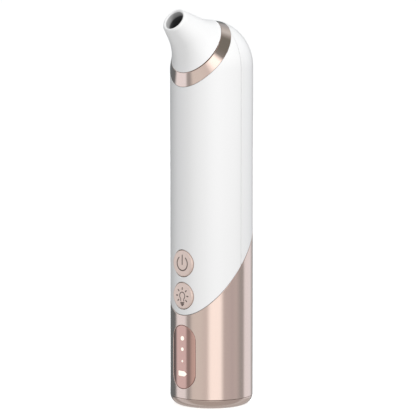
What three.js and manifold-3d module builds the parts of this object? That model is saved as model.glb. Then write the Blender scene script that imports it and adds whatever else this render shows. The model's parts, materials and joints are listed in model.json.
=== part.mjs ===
// Blackhead vacuum extractor: a pen-shaped skin cleaner that stands on its base.
// Millimetres, +Z up, front towards -Y, origin at the centre of the base's underside.

import * as THREE from 'three';
import { mergeVertices } from 'three/addons/utils/BufferGeometryUtils.js';
import Module from 'manifold-3d';

const wasm = await Module();
wasm.setup();

const { degToRad } = THREE.MathUtils;

// ---- Driving dimensions ----

const BODY_RADIUS = 20;
const WALL = 2;
const GAP = 0.3; // clearance between neighbouring pieces
const OVERSHOOT = 1; // how far a cutting form runs past the face that it cuts
const SPAN = 300; // larger than the whole object, for cutting blocks

// Body: a tube under an elliptical dome
const DOME_START = 164;
const DOME_HEIGHT = 22.2;

// Metallised sleeve around the foot, with an edge that leans back
const SLEEVE_TILT = degToRad(50);
const SLEEVE_EDGE_MID = 69.1;
const BASE_FILLET = 5;
const CAP_SEAM = 4.5;
const CAP_FLOOR = 2;
const PORT = { halfWidth: 4.8, halfDepth: 1.95 };
const VENTS = { radius: 0.8, y: 10, across: [-6, -3, 0, 3, 6] };
const BASE_SCREW = { x: 11, y: 1.5, recessRadius: 2.2, recessDepth: 1.4, pilotRadius: 1.2 };

// Skirt and ribs inside the shells
const SKIRT_WALL = 1.4;
const SKIRT_OUTER = BODY_RADIUS - WALL - GAP;
const SKIRT_INNER = SKIRT_OUTER - SKIRT_WALL;
const SKIRT_BELOW = 5; // how far the skirt reaches below the sleeve's edge
const SKIRT_ABOVE = 4;
const RIBS = [95, 107];
const RIB_HEIGHT = 2;
const INNER_REACH = SKIRT_INNER - 0.4; // outer radius of what slides in between the skirts

// Head: everything here is measured along an axis that leans forward
const HEAD_TILT = degToRad(52);
const HEAD_Y = -6.31;
const HEAD_Z = 172.77;
const RING_HEIGHT = 3.9;
const RING_WALL = 1.8;
const NOZZLE_LENGTH = 24.2;
const NOZZLE_BASE_RADIUS = 14.6;
const NOZZLE_TIP_RADIUS = 6.4;
const NOZZLE_HOLE_RADIUS = 4.9;
const NOZZLE_TAPER = 5.7;
const NOZZLE_WALL = 1.8;
const NOZZLE_UNDERCUT = 8.6; // top of the hollow between the outer wall and the socket
const NOZZLE_THROAT = 14.5; // where the socket's cone narrows to the hole
const NOZZLE_OVAL_X = 13.9 / NOZZLE_BASE_RADIUS;
const NOZZLE_OVAL_Y = 15.6 / NOZZLE_BASE_RADIUS;
const NOZZLE_OVAL_SHIFT = -1.2;
const SOCKET_RADIUS = 8.3;
const SOCKET_WALL = 1.3;
const SPIGOT_RADIUS = 7.9;
const SPIGOT_TOP = 11.5;
const SPIGOT_BORE = 5.6;
const SHELF = [5, 6.2];
const SIEVE = { holes: 6, circle: 3.4, radius: 0.9 };
const SEAL = { height: 8.2, section: 0.6, sunk: 0.35 };
const SEAL_GROOVE = [7.4, 9];
const FOAM_TOP = 10.5;
const FLANGE = [-3, -0.4];
const LIGHT_BOARD = { radius: 12.2, thickness: 1 };
const HEAD_LAMP = { count: 3, circle: 10.5, width: 2.8, height: 0.8 };
const SEAT_CHAMBER_FLOOR = -1;
const NIPPLE_RADIUS = 2.4;
const NIPPLE_BORE = 1.5;
const NIPPLE_END = -9;
const HOSE_WALL = 1.3;
const HOSE_BEND = 9; // from the hose's corner back to where its bend starts

// Buttons and display on the front
const BUTTON_RADIUS = 6.4;
const BUTTON_TRAVEL = 0.5;
const BUTTON_FLANGE_RADIUS = 7.3;
const BUTTON_FLANGE = [3.9, 4.9]; // depths below the button's face
const BUTTON_NECK = { radius: 5.6, start: 2.5 };
const BUTTON_STEM = { radius: 1.5, length: 0.2 };
const BUTTON_EDGE = 0.5;
const SWITCH = { width: 6, depth: 3.2, wellRadius: 1.6, wellDepth: 1.4 };
const PLUNGER = { radius: 1.2, reach: 1.7 };
const BUTTONS = { power: 70.4, light: 54.7 };
const WINDOW_HALF_WIDTH = 7.45;
const WINDOW_HALF_HEIGHT = 15.45;
const WINDOW_Z = 24.9;
const WINDOW_SKIN = [BODY_RADIUS - WALL + 0.1, BODY_RADIUS - 0.05]; // inner and outer radius
const LAMPS = [
  { name: 'large', z: 34.0, radius: 1.6 },
  { name: 'medium', z: 28.7, radius: 1.3 },
  { name: 'small', z: 22.9, radius: 1.0 },
];
const BATTERY_LAMP = { z: 16.8, halfWidth: 3, halfHeight: 1.6 };
const LAMP_CHIP = { width: 1.6, depth: 0.8, height: 1.2 };
const MASK = { front: -16.2, clearOfBoard: 1.5, margin: 0.7 };

// Circuit board behind the buttons and display
const BOARD_FRONT = -9.4;
const BOARD_BACK = -8.2;
const BOARD_HALF_WIDTH = 11;
const BOARD_TOP = 84.5;
const BOARD_BOTTOM = 5;
const BOARD_NOTCH = { halfWidth: 4.8, top: 8.5 }; // room for the charging socket
const PORT_Y = (BOARD_FRONT + BOARD_BACK) / 2;

// Cell and chassis
const CELL_RADIUS = 9.2;
const CELL_Y = 5.5;
const CELL = [9.5, 74.5];
const CELL_BUTTON = { radius: 3, height: 1.2 };
const CELL_EDGE = 0.6;
const CHASSIS_FLOOR = [5.6, 7.4];
const CHASSIS_ROOF = [75, 77];
const SPINE = [-7.6, -6.2];
const SPINE_TOP = 82;
const RAIL = { inner: 9.8, outer: 11.2, back: 1.5 };
const POST_RADIUS = 2.4;
const LUG = { halfWidth: 4, front: 12.6, top: 88.8 };
const LEAD_HOLE = { radius: 2, x: -3 };
const SOCKET_ROOM = { halfWidth: 6, behind: 3.5 }; // notch in the chassis floor around the socket
const SHELL_SCREW_HEIGHTS = [80, 86];
const SHELL_SCREW_HOLE = 1.1;
const SHELL_SCREW_RECESS = { radius: 2, depth: 0.9 };
const TONGUE = { halfWidth: 8, span: [74, 90] }; // of the rear shell, where the screws go in
const SOCKET_METAL = { low: 0.7, depth: 7.4, halfDepth: 1.6, halfWidth: 4.45, sheet: 0.3 };
const SOCKET_TONGUE = { halfWidth: 3.3, halfDepth: 0.35, front: 1, back: 0.5 };
const WIRE_RADIUS = 0.6;

// Diaphragm pump: motor below, pump head above, all on the body's axis
const MOTOR_BOTTOM = 88;
const MOTOR_RADIUS = 12.2;
const CAN = [MOTOR_BOTTOM + 1.5, MOTOR_BOTTOM + 30.8];
const CAN_WALL = 0.8;
const END_PLUG = 1.5;
const SHAFT_RADIUS = 1;
const SHAFT_FIT = 0.1; // between the shaft and its bearings
const SHAFT_BELOW = 0.8; // how far the shaft stands out below the motor
const BEARING_RADIUS = 3;
const BEARING_HEIGHT = 2.6;
const MAGNET = { outer: 11, inner: 9.9, low: 94, length: 20, halfSpread: degToRad(62) };
const ARMATURE = { core: [95, 111], windings: [93, 113], commutator: [91.8, 94] };
const ARMATURE_RADII = { core: 9.3, windings: 7.2, commutator: 3 };
const ARMATURE_SLOT = { inner: 5.5, halfWidth: 1.2 };
const VIBRATION_SPAN = [92, 112];
const PUMP_RADIUS = 14.5;
const PUMP_CHAMBER_RADIUS = 10.8;
const PUMP_BASE = [CAN[1] + 0.5, 131.7];
const DIAPHRAGM = [132, 133.2];
const VALVE_PLATE = [133.5, 135.5];
const COVER = [135.8, 141];
const PUMP_FLOOR = 2.2;
const PUMP_SCREW_CIRCLE = 12.7;
const PUMP_SCREW_HOLE = 1.1;
const CUPS = 3;
const CUP_CIRCLE = 6.8;
const CUP = { radius: 3, wall: 0.8, low: 130.4 };
const VALVES = { inner: 3, radius: 0.8 };
const MEMBRANE = 0.6;
const DIVIDER_HALF = 0.6;
const COVER_CHAMBER = 3; // height of the room under the cover
const WOBBLE_TILT = degToRad(6);
const WOBBLE_PIVOT = 131;
const CRANK = [122, 125.6];
const CRANK_RADIUS = 4.6;
const CRANK_ROOF = 0.8; // what is left of the hub above the shaft's hole
const CRANK_PIN = { radius: 0.8, root: 0.5, above: 0.3 }; // root in the hub, above the wobble pivot
const PLATE = { span: [-3.6, -2], armHalf: 1.8, padRadius: 2.5 }; // heights from the wobble pivot
const PLATE_HUB = { radius: 2.6, span: [-4.4, -1], bore: 1.1 };
const INLET_Y = 5;
const INLET_TOP = 150;
const EXHAUST_Y = -5.5;
const EXHAUST_LENGTH = 4;

// Screws: head radius and height, thread radius and length
const PUMP_SCREW = [1.7, 1.2, 0.8, 18];
const SHELL_SCREW = [1.7, 0.5, 0.8, 4];
const CAP_SCREW = [1.9, 0.8, 0.9, 5.5];

// Facets around a full circle
const FINE = 32;
const MEDIUM = 20;
const COARSE = 10;
const TINY = 8;
const HOSE_SIDES = 5; // on each half of the section
const HOSE_STEPS = 10;
const WIRE_SIDES = 3;
const WIRE_STEPS = 3; // for each point on the wire's way

// ---- Joining, cutting and basic forms ----

function solid(geometry) {
  const bare = geometry.clone();
  bare.deleteAttribute('normal');
  bare.deleteAttribute('uv');
  const merged = mergeVertices(bare, 1e-5);
  const corners = Array.from(merged.index.array);
  const triangles = [];
  for (let first = 0; first < corners.length; first += 3) {
    const triangle = corners.slice(first, first + 3);
    if (new Set(triangle).size === 3) {
      triangles.push(...triangle);
    }
  }
  return new wasm.Manifold(new wasm.Mesh({
    numProp: 3,
    vertProperties: new Float32Array(merged.attributes.position.array),
    triVerts: new Uint32Array(triangles),
  }));
}

function surfaceOf(manifold) {
  const mesh = manifold.getMesh();
  const geometry = new THREE.BufferGeometry();
  geometry.setAttribute('position', new THREE.BufferAttribute(mesh.vertProperties, 3));
  geometry.setIndex(new THREE.BufferAttribute(mesh.triVerts, 1));
  return geometry;
}

function join(...pieces) {
  return surfaceOf(pieces.map(solid).reduce((whole, piece) => whole.add(piece)));
}

function cut(base, ...tools) {
  return surfaceOf(tools.map(solid).reduce((rest, tool) => rest.subtract(tool), solid(base)));
}

function common(...pieces) {
  return surfaceOf(pieces.map(solid).reduce((shared, piece) => shared.intersect(piece)));
}

// A form turned about the Z axis, from [radius, height] points
function turned(profile, segments = MEDIUM) {
  const points = profile.map(([radius, height]) => new THREE.Vector2(radius, height));
  return new THREE.LatheGeometry(points, segments).rotateX(Math.PI / 2);
}

function rod(radius, [low, high], segments = MEDIUM) {
  return turned([[0, low], [radius, low], [radius, high], [0, high]], segments);
}

function tube(inner, outer, [low, high], segments = MEDIUM) {
  return turned([[inner, low], [outer, low], [outer, high], [inner, high], [inner, low]], segments);
}

function block([left, right], [front, back], [low, high]) {
  return new THREE.BoxGeometry(right - left, back - front, high - low)
    .translate((left + right) / 2, (front + back) / 2, (low + high) / 2);
}

// A flat outline in X and Z, pushed through from one Y to another
function pushed(outline, [front, back], z = 0) {
  return new THREE.ExtrudeGeometry(outline, { depth: back - front, bevelEnabled: false, curveSegments: 8 })
    .rotateX(Math.PI / 2)
    .translate(0, back, z);
}

// A rod that lies along Y
function crossRod(radius, [front, back], x, z, segments = MEDIUM) {
  return rod(radius, [-back, -front], segments).rotateX(Math.PI / 2).translate(x, 0, z);
}

// Calls a maker once for each of a number of angles, evenly spread
function around(count, make) {
  return Array.from({ length: count }, (_, index) => make(index * (2 * Math.PI / count), index));
}

function onCircle(radius, angle, z = 0) {
  return [radius * Math.cos(angle), radius * Math.sin(angle), z];
}

// Copies of a form, evenly spread on a circle
function ringOf(count, radius, form) {
  return around(count, (angle) => form.clone().translate(...onCircle(radius, angle)));
}

// The same span, drawn out at both ends
function beyond([low, high], reach = OVERSHOOT) {
  return [low - reach, high + reach];
}

// Points on an arc of a circle or ellipse in a profile, between two angles in degrees
function arc([radius, height], [across, along], from, to, steps) {
  return Array.from({ length: steps + 1 }, (_, step) => {
    const angle = degToRad(from + ((to - from) * step) / steps);
    return [radius + across * Math.cos(angle), height + along * Math.sin(angle)];
  });
}

function stadium(halfWidth, halfHeight) {
  const straight = halfHeight - halfWidth;
  const outline = new THREE.Shape();
  outline.absarc(0, straight, halfWidth, 0, Math.PI, false);
  outline.absarc(0, -straight, halfWidth, Math.PI, 2 * Math.PI, false);
  return outline;
}

// A round wire or hose along a path; an inner radius makes it hollow
function hose(path, outer, inner, steps, sides) {
  const section = new THREE.Shape();
  section.absarc(0, 0, outer, 0, 2 * Math.PI, false);
  if (inner > 0) {
    const hollow = new THREE.Path();
    hollow.absarc(0, 0, inner, 0, 2 * Math.PI, true);
    section.holes.push(hollow);
  }
  return new THREE.ExtrudeGeometry(section, { steps, extrudePath: path, curveSegments: sides });
}

// A pan-head screw with a cross recess: head above Z = 0, thread below
function screw(headRadius, headHeight, shaftRadius, length) {
  const blank = turned([
    [0, -length], [shaftRadius, -length], [shaftRadius, 0],
    [headRadius, 0], [headRadius, headHeight], [0, headHeight],
  ], TINY);
  const arm = headRadius * 0.6;
  const recess = [headHeight / 2, headHeight + GAP];
  return cut(blank, block([-arm, arm], [-GAP, GAP], recess), block([-GAP, GAP], [-arm, arm], recess));
}

// ---- Body forms that several pieces share ----

// The body's outer form, drawn in by an inset
function bodyForm(inset) {
  const radius = BODY_RADIUS - inset;
  const dome = arc([0, DOME_START], [radius, DOME_HEIGHT - inset], 0, 90, 6);
  return turned([[0, 0], [radius, 0], ...dome], FINE);
}

function aboveSleeveEdge(lift) {
  return new THREE.BoxGeometry(SPAN, SPAN, SPAN)
    .translate(0, 0, SPAN / 2)
    .rotateX(SLEEVE_TILT)
    .translate(0, 0, SLEEVE_EDGE_MID + lift);
}

const headPlace = new THREE.Matrix4().makeRotationX(HEAD_TILT).setPosition(0, HEAD_Y, HEAD_Z);

function aboveHeadPlane() {
  return block([-SPAN, SPAN], [-SPAN, SPAN], [0, SPAN]).applyMatrix4(headPlace);
}

function insideBody(point) {
  const rise = Math.max(0, point.z - DOME_START) / DOME_HEIGHT;
  return rise < 1 && Math.hypot(point.x, point.y) < BODY_RADIUS * Math.sqrt(1 - rise * rise);
}

// Where the head plane meets the body's surface, at an angle about the head's axis
function bodyEdge(angle) {
  const direction = new THREE.Vector2(Math.cos(angle), Math.sin(angle));
  let near = 0;
  let far = 2 * BODY_RADIUS;
  while (far - near > 1e-4) {
    const middle = (near + far) / 2;
    const point = new THREE.Vector3(direction.x * middle, direction.y * middle, 0).applyMatrix4(headPlace);
    if (insideBody(point)) {
      near = middle;
    } else {
      far = middle;
    }
  }
  return direction.multiplyScalar(near);
}

// The oval where the nozzle starts
function nozzleEdge(angle) {
  return new THREE.Vector2(
    NOZZLE_BASE_RADIUS * NOZZLE_OVAL_X * Math.cos(angle),
    NOZZLE_BASE_RADIUS * NOZZLE_OVAL_Y * Math.sin(angle) + NOZZLE_OVAL_SHIFT,
  );
}

// ---- Outer pieces ----

function shellBlank() {
  const ledge = BODY_RADIUS - WALL / 2;
  const collarTop = aboveSleeveEdge(SKIRT_ABOVE);
  const reach = [0, DOME_START];
  const wall = common(cut(bodyForm(0), bodyForm(WALL), aboveHeadPlane()), aboveSleeveEdge(GAP));
  const band = cut(aboveSleeveEdge(-SKIRT_BELOW), collarTop);
  const skirt = common(tube(SKIRT_INNER, SKIRT_OUTER, reach, FINE), band);
  const collar = common(tube(SKIRT_INNER, ledge, reach, FINE), cut(aboveSleeveEdge(GAP), collarTop));
  const ribs = RIBS.map((z) => tube(PUMP_RADIUS + 2 * GAP, ledge, [z, z + RIB_HEIGHT], FINE));
  return join(wall, skirt, collar, ...ribs);
}

function frontShell() {
  const front = block([-SPAN, SPAN], [-SPAN, -GAP / 2], [0, SPAN]);
  const holes = Object.values(BUTTONS)
    .map((z) => crossRod(BUTTON_RADIUS + GAP, [-2 * BODY_RADIUS, 0], 0, z));
  const flangeRoom = Object.values(BUTTONS)
    .map((z) => crossRod(BUTTON_FLANGE_RADIUS + GAP, [BUTTON_FLANGE[0] - BODY_RADIUS - GAP, 0], 0, z));
  return cut(common(shellBlank(), front), ...holes, ...flangeRoom);
}

function rearShell() {
  const rear = block([-SPAN, SPAN], [GAP / 2, SPAN], [0, SPAN]);
  const tongue = common(
    tube(SKIRT_INNER, SKIRT_OUTER, TONGUE.span, FINE),
    block([-TONGUE.halfWidth, TONGUE.halfWidth], [0, BODY_RADIUS], TONGUE.span),
  );
  const holes = SHELL_SCREW_HEIGHTS
    .map((z) => crossRod(SHELL_SCREW_HOLE, [0, BODY_RADIUS - WALL], 0, z, COARSE));
  const recessFront = SKIRT_OUTER - SHELL_SCREW_RECESS.depth;
  const recesses = SHELL_SCREW_HEIGHTS
    .map((z) => crossRod(SHELL_SCREW_RECESS.radius, [recessFront, BODY_RADIUS - WALL], 0, z, COARSE));
  return cut(join(common(shellBlank(), rear), tongue), ...holes, ...recesses);
}

function baseSleeve() {
  const opening = pushed(
    stadium(WINDOW_HALF_WIDTH + GAP, WINDOW_HALF_HEIGHT + GAP),
    [-2 * BODY_RADIUS, 0],
    WINDOW_Z,
  );
  const blank = tube(BODY_RADIUS - WALL, BODY_RADIUS, [CAP_SEAM + GAP, DOME_START], FINE);
  return cut(blank, aboveSleeveEdge(0), opening);
}

// A flat slot form that lies across the charging port's place
function portSlab(halfDepth, halfWidth, [low, high]) {
  return new THREE.ExtrudeGeometry(
    stadium(halfDepth, halfWidth),
    { depth: high - low, bevelEnabled: false, curveSegments: 5 },
  ).rotateZ(Math.PI / 2).translate(0, PORT_Y, low);
}

function bottomCap() {
  const centre = [BODY_RADIUS - BASE_FILLET, BASE_FILLET];
  const seamAngle = -THREE.MathUtils.radToDeg(Math.asin((BASE_FILLET - CAP_SEAM) / BASE_FILLET));
  const plugTop = CAP_SEAM + 2 * CAP_FLOOR;
  const throughFloor = beyond([0, CAP_FLOOR]);
  const blank = turned([
    [0, 0],
    ...arc(centre, [BASE_FILLET, BASE_FILLET], -90, seamAngle, 5),
    [SKIRT_OUTER, CAP_SEAM], [SKIRT_OUTER, plugTop],
    [SKIRT_INNER, plugTop], [SKIRT_INNER, 2 * CAP_FLOOR],
    [SKIRT_INNER - CAP_FLOOR, CAP_FLOOR], [0, CAP_FLOOR],
  ], FINE);
  const port = portSlab(PORT.halfDepth, PORT.halfWidth, throughFloor);
  const vents = VENTS.across.map((x) => rod(VENTS.radius, throughFloor, TINY).translate(x, VENTS.y, 0));
  const { x: screwX, y: screwY, pilotRadius, recessRadius, recessDepth } = BASE_SCREW;
  const screwHoles = [-screwX, screwX].flatMap((x) => [
    rod(pilotRadius, throughFloor, COARSE).translate(x, screwY, 0),
    rod(recessRadius, [-OVERSHOOT, recessDepth], COARSE).translate(x, screwY, 0),
  ]);
  return cut(blank, port, ...vents, ...screwHoles);
}

// Face, neck, retaining flange and stem, turned about Y
function button() {
  const [flangeTop, flangeBack] = BUTTON_FLANGE;
  const stemEnd = flangeBack + BUTTON_STEM.length;
  const profile = [
    [0, 0], [BUTTON_RADIUS - BUTTON_EDGE, 0], [BUTTON_RADIUS, BUTTON_EDGE],
    [BUTTON_RADIUS, BUTTON_NECK.start], [BUTTON_NECK.radius, BUTTON_NECK.start],
    [BUTTON_NECK.radius, flangeTop],
    [BUTTON_FLANGE_RADIUS, flangeTop], [BUTTON_FLANGE_RADIUS, flangeBack],
    [BUTTON_STEM.radius, flangeBack], [BUTTON_STEM.radius, stemEnd], [0, stemEnd],
  ];
  return turned(profile).rotateX(-Math.PI / 2);
}

function indicatorWindow() {
  const skin = tube(...WINDOW_SKIN, [0, 2 * WINDOW_Z], FINE);
  const outline = pushed(stadium(WINDOW_HALF_WIDTH, WINDOW_HALF_HEIGHT), [-2 * BODY_RADIUS, 0], WINDOW_Z);
  return common(skin, outline);
}

// ---- Head pieces, along +Z of the head's own frame ----

// A band between the body's edge and the nozzle's edge, drawn in by an inset
function ringForm(inset, [low, high]) {
  const form = new THREE.CylinderGeometry(1, 1, 1, FINE, 1).rotateX(Math.PI / 2);
  const position = form.attributes.position;
  for (let index = 0; index < position.count; index += 1) {
    const onRim = Math.hypot(position.getX(index), position.getY(index)) > 0.5;
    const angle = Math.atan2(position.getY(index), position.getX(index));
    const height = position.getZ(index) > 0 ? high : low;
    const spot = bodyEdge(angle).lerp(nozzleEdge(angle), height / RING_HEIGHT);
    spot.setLength(onRim ? spot.length() - inset : 0);
    position.setXYZ(index, spot.x, spot.y, height);
  }
  return form;
}

function trimRing() {
  return cut(ringForm(0, [GAP, RING_HEIGHT]), ringForm(RING_WALL, beyond([0, RING_HEIGHT])));
}

// Outer radius of the nozzle: a steady taper with a flare that fades towards the tip
function nozzleRadius(height) {
  const left = (NOZZLE_LENGTH - height) / (NOZZLE_LENGTH - RING_HEIGHT - GAP);
  const flare = NOZZLE_BASE_RADIUS - NOZZLE_TIP_RADIUS - NOZZLE_TAPER;
  return NOZZLE_TIP_RADIUS + NOZZLE_TAPER * left + flare * left ** 4;
}

function suctionNozzle() {
  const base = RING_HEIGHT + GAP;
  const lip = (NOZZLE_TIP_RADIUS - NOZZLE_HOLE_RADIUS) / 2;
  const lipHeight = NOZZLE_LENGTH - lip;
  const socketOuter = SOCKET_RADIUS + SOCKET_WALL;
  const steps = 6;
  const outside = Array.from({ length: steps }, (_, step) => {
    const height = lipHeight + ((base - lipHeight) * (step + 1)) / steps;
    return [nozzleRadius(height), height];
  });
  const lipCentre = [NOZZLE_HOLE_RADIUS + lip, lipHeight];
  const nozzle = turned([
    [SOCKET_RADIUS, base],
    [socketOuter, base], [socketOuter, NOZZLE_UNDERCUT],
    [socketOuter + 0.4, NOZZLE_UNDERCUT], [NOZZLE_BASE_RADIUS - NOZZLE_WALL, base],
    ...outside.reverse(),
    ...arc(lipCentre, [lip, lip], 0, 180, 4),
    [NOZZLE_HOLE_RADIUS, NOZZLE_THROAT], [SOCKET_RADIUS, SPIGOT_TOP + 0.5], [SOCKET_RADIUS, base],
  ], FINE);
  const position = nozzle.attributes.position;
  for (let index = 0; index < position.count; index += 1) {
    const x = position.getX(index);
    const y = position.getY(index);
    const out = (Math.hypot(x, y) - socketOuter) / (NOZZLE_BASE_RADIUS - socketOuter);
    const share = Math.max(0, out);
    position.setX(index, x * (1 + (NOZZLE_OVAL_X - 1) * share));
    position.setY(index, y * (1 + (NOZZLE_OVAL_Y - 1) * share) + NOZZLE_OVAL_SHIFT * share);
  }
  return nozzle;
}

// Flange that closes the head, spigot that the nozzle sits on, nipple for the hose
function nozzleSeat() {
  const inside = bodyForm(WALL + GAP).applyMatrix4(headPlace.clone().invert());
  const flange = common(inside, block([-SPAN, SPAN], [-SPAN, SPAN], FLANGE));
  const spigot = rod(SPIGOT_RADIUS, [FLANGE[0] + 1, SPIGOT_TOP]);
  const nipple = rod(NIPPLE_RADIUS, [NIPPLE_END, FLANGE[0] + 1]);
  const sieveHole = rod(SIEVE.radius, beyond(SHELF), TINY);
  return cut(
    join(flange, spigot, nipple),
    rod(SPIGOT_BORE, [SHELF[1], SPIGOT_TOP + OVERSHOOT]),
    rod(SPIGOT_BORE, [SEAT_CHAMBER_FLOOR, SHELF[0]]),
    sieveHole,
    ...ringOf(SIEVE.holes, SIEVE.circle, sieveHole),
    rod(NIPPLE_BORE, beyond([NIPPLE_END, SEAT_CHAMBER_FLOOR])),
    tube(SPIGOT_RADIUS - 1, SPIGOT_RADIUS + OVERSHOOT, SEAL_GROOVE),
  );
}

function sealRing() {
  const centre = [SPIGOT_RADIUS - SEAL.sunk, SEAL.height];
  return turned(arc(centre, [SEAL.section, SEAL.section], 0, 360, 8));
}

function filterFoam() {
  return rod(SPIGOT_BORE - GAP, [SHELF[1] + GAP, FOAM_TOP]);
}

function lightRingBoard() {
  const low = FLANGE[1] + GAP;
  return tube(SPIGOT_RADIUS + 1, LIGHT_BOARD.radius, [low, low + LIGHT_BOARD.thickness]);
}

function headLamp() {
  const across = [-HEAD_LAMP.width / 2, HEAD_LAMP.width / 2];
  return block(across, across, [0, HEAD_LAMP.height]);
}

// From the pump's inlet up and forward to the seat's nipple, in the body's frame
function suctionHose() {
  const onAxis = (height) => new THREE.Vector3(0, 0, height).applyMatrix4(headPlace);
  const corner = onAxis(-(INLET_Y - HEAD_Y) / Math.sin(HEAD_TILT));
  const bendStart = new THREE.Vector3(0, INLET_Y, corner.z - HOSE_BEND);
  const bendEnd = onAxis(NIPPLE_END);
  const path = new THREE.CurvePath();
  path.add(new THREE.LineCurve3(new THREE.Vector3(0, INLET_Y, COVER[1] + 3), bendStart));
  path.add(new THREE.QuadraticBezierCurve3(bendStart, corner, bendEnd));
  path.add(new THREE.LineCurve3(bendEnd, onAxis(NIPPLE_END + 5)));
  const bore = NIPPLE_RADIUS + GAP;
  return hose(path, bore + HOSE_WALL, bore, HOSE_STEPS, HOSE_SIDES);
}

// ---- Motor ----

function motorCan() {
  const inner = MOTOR_RADIUS - CAN_WALL;
  return turned([
    [inner, CAN[0]], [MOTOR_RADIUS, CAN[0]], [MOTOR_RADIUS, CAN[1]],
    [BEARING_RADIUS + GAP, CAN[1]], [BEARING_RADIUS + GAP, CAN[1] - CAN_WALL],
    [inner, CAN[1] - CAN_WALL], [inner, CAN[0]],
  ]);
}

function motorEndCap() {
  const plug = MOTOR_RADIUS - CAN_WALL - GAP;
  const bore = BEARING_RADIUS + GAP;
  return turned([
    [bore, MOTOR_BOTTOM], [MOTOR_RADIUS, MOTOR_BOTTOM], [MOTOR_RADIUS, CAN[0] - GAP],
    [plug, CAN[0] - GAP], [plug, CAN[0] + END_PLUG], [bore, CAN[0] + END_PLUG], [bore, MOTOR_BOTTOM],
  ]);
}

function magnet(facing) {
  const start = facing - MAGNET.halfSpread;
  const end = facing + MAGNET.halfSpread;
  const outline = new THREE.Shape();
  outline.absarc(0, 0, MAGNET.outer, start, end, false);
  outline.absarc(0, 0, MAGNET.inner, end, start, true);
  return new THREE.ExtrudeGeometry(
    outline,
    { depth: MAGNET.length, bevelEnabled: false, curveSegments: 12 },
  ).translate(0, 0, MAGNET.low);
}

function motorArmature() {
  const through = [MOTOR_BOTTOM, CAN[1]];
  const { inner, halfWidth } = ARMATURE_SLOT;
  const slot = block([inner, MOTOR_RADIUS], [-halfWidth, halfWidth], through);
  const slots = around(3, (angle) => slot.clone().rotateZ(angle));
  const core = cut(rod(ARMATURE_RADII.core, ARMATURE.core), ...slots);
  const windings = rod(ARMATURE_RADII.windings, ARMATURE.windings);
  const commutator = rod(ARMATURE_RADII.commutator, ARMATURE.commutator, COARSE);
  return cut(join(core, windings, commutator), rod(SHAFT_RADIUS + GAP, through, COARSE));
}

function bearing(low) {
  return tube(SHAFT_RADIUS + SHAFT_FIT, BEARING_RADIUS, [low, low + BEARING_HEIGHT], COARSE);
}

function motorShaft() {
  return rod(SHAFT_RADIUS, [MOTOR_BOTTOM - SHAFT_BELOW, CRANK[1] - CRANK_ROOF - GAP], COARSE);
}

// ---- Pump ----

function pumpScrewHoles(span) {
  return ringOf(CUPS, PUMP_SCREW_CIRCLE, rod(PUMP_SCREW_HOLE, span, TINY));
}

function pumpBase() {
  const floor = PUMP_BASE[0] + PUMP_FLOOR;
  const cup = turned([
    [BEARING_RADIUS + GAP, PUMP_BASE[0]], [PUMP_RADIUS, PUMP_BASE[0]], [PUMP_RADIUS, PUMP_BASE[1]],
    [PUMP_CHAMBER_RADIUS, PUMP_BASE[1]], [PUMP_CHAMBER_RADIUS, floor],
    [BEARING_RADIUS + GAP, floor], [BEARING_RADIUS + GAP, PUMP_BASE[0]],
  ]);
  return cut(cup, ...pumpScrewHoles([floor, PUMP_BASE[1] + OVERSHOOT]));
}

// Hub on the shaft with a leaning pin whose line passes through the wobble pivot
function crank() {
  const hub = rod(CRANK_RADIUS, CRANK);
  const pinRoot = CRANK[1] - WOBBLE_PIVOT - CRANK_PIN.root;
  const pin = rod(CRANK_PIN.radius, [pinRoot, CRANK_PIN.above], COARSE)
    .rotateY(WOBBLE_TILT)
    .translate(0, 0, WOBBLE_PIVOT);
  const shaftHole = [CRANK[0] - OVERSHOOT, CRANK[1] - CRANK_ROOF];
  return cut(join(hub, pin), rod(SHAFT_RADIUS + GAP, shaftHole, COARSE));
}

// Three arms that rock the diaphragm's cups, square to the leaning pin
function wobblePlate() {
  const arm = block([0, CUP_CIRCLE], [-PLATE.armHalf, PLATE.armHalf], PLATE.span);
  const arms = around(CUPS, (angle) => arm.clone().rotateZ(angle));
  const pads = ringOf(CUPS, CUP_CIRCLE, rod(PLATE.padRadius, PLATE.span, COARSE));
  const hub = rod(PLATE_HUB.radius, PLATE_HUB.span, COARSE);
  return cut(join(hub, ...arms, ...pads), rod(PLATE_HUB.bore, beyond(PLATE_HUB.span), COARSE))
    .rotateY(WOBBLE_TILT)
    .translate(0, 0, WOBBLE_PIVOT);
}

function diaphragm() {
  const cups = (inset) => ringOf(
    CUPS,
    CUP_CIRCLE,
    rod(CUP.radius - inset, [CUP.low + inset, DIAPHRAGM[1] + inset], COARSE),
  );
  const sheet = join(rod(PUMP_RADIUS, DIAPHRAGM), ...cups(0));
  return cut(sheet, ...cups(CUP.wall), ...pumpScrewHoles(beyond(DIAPHRAGM)));
}

function valvePlate() {
  const through = beyond(VALVE_PLATE);
  const ports = [CUP_CIRCLE, VALVES.inner]
    .flatMap((circle) => ringOf(CUPS, circle, rod(VALVES.radius, through, TINY)));
  return cut(rod(PUMP_RADIUS, VALVE_PLATE), ...ports, ...pumpScrewHoles(through));
}

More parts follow.
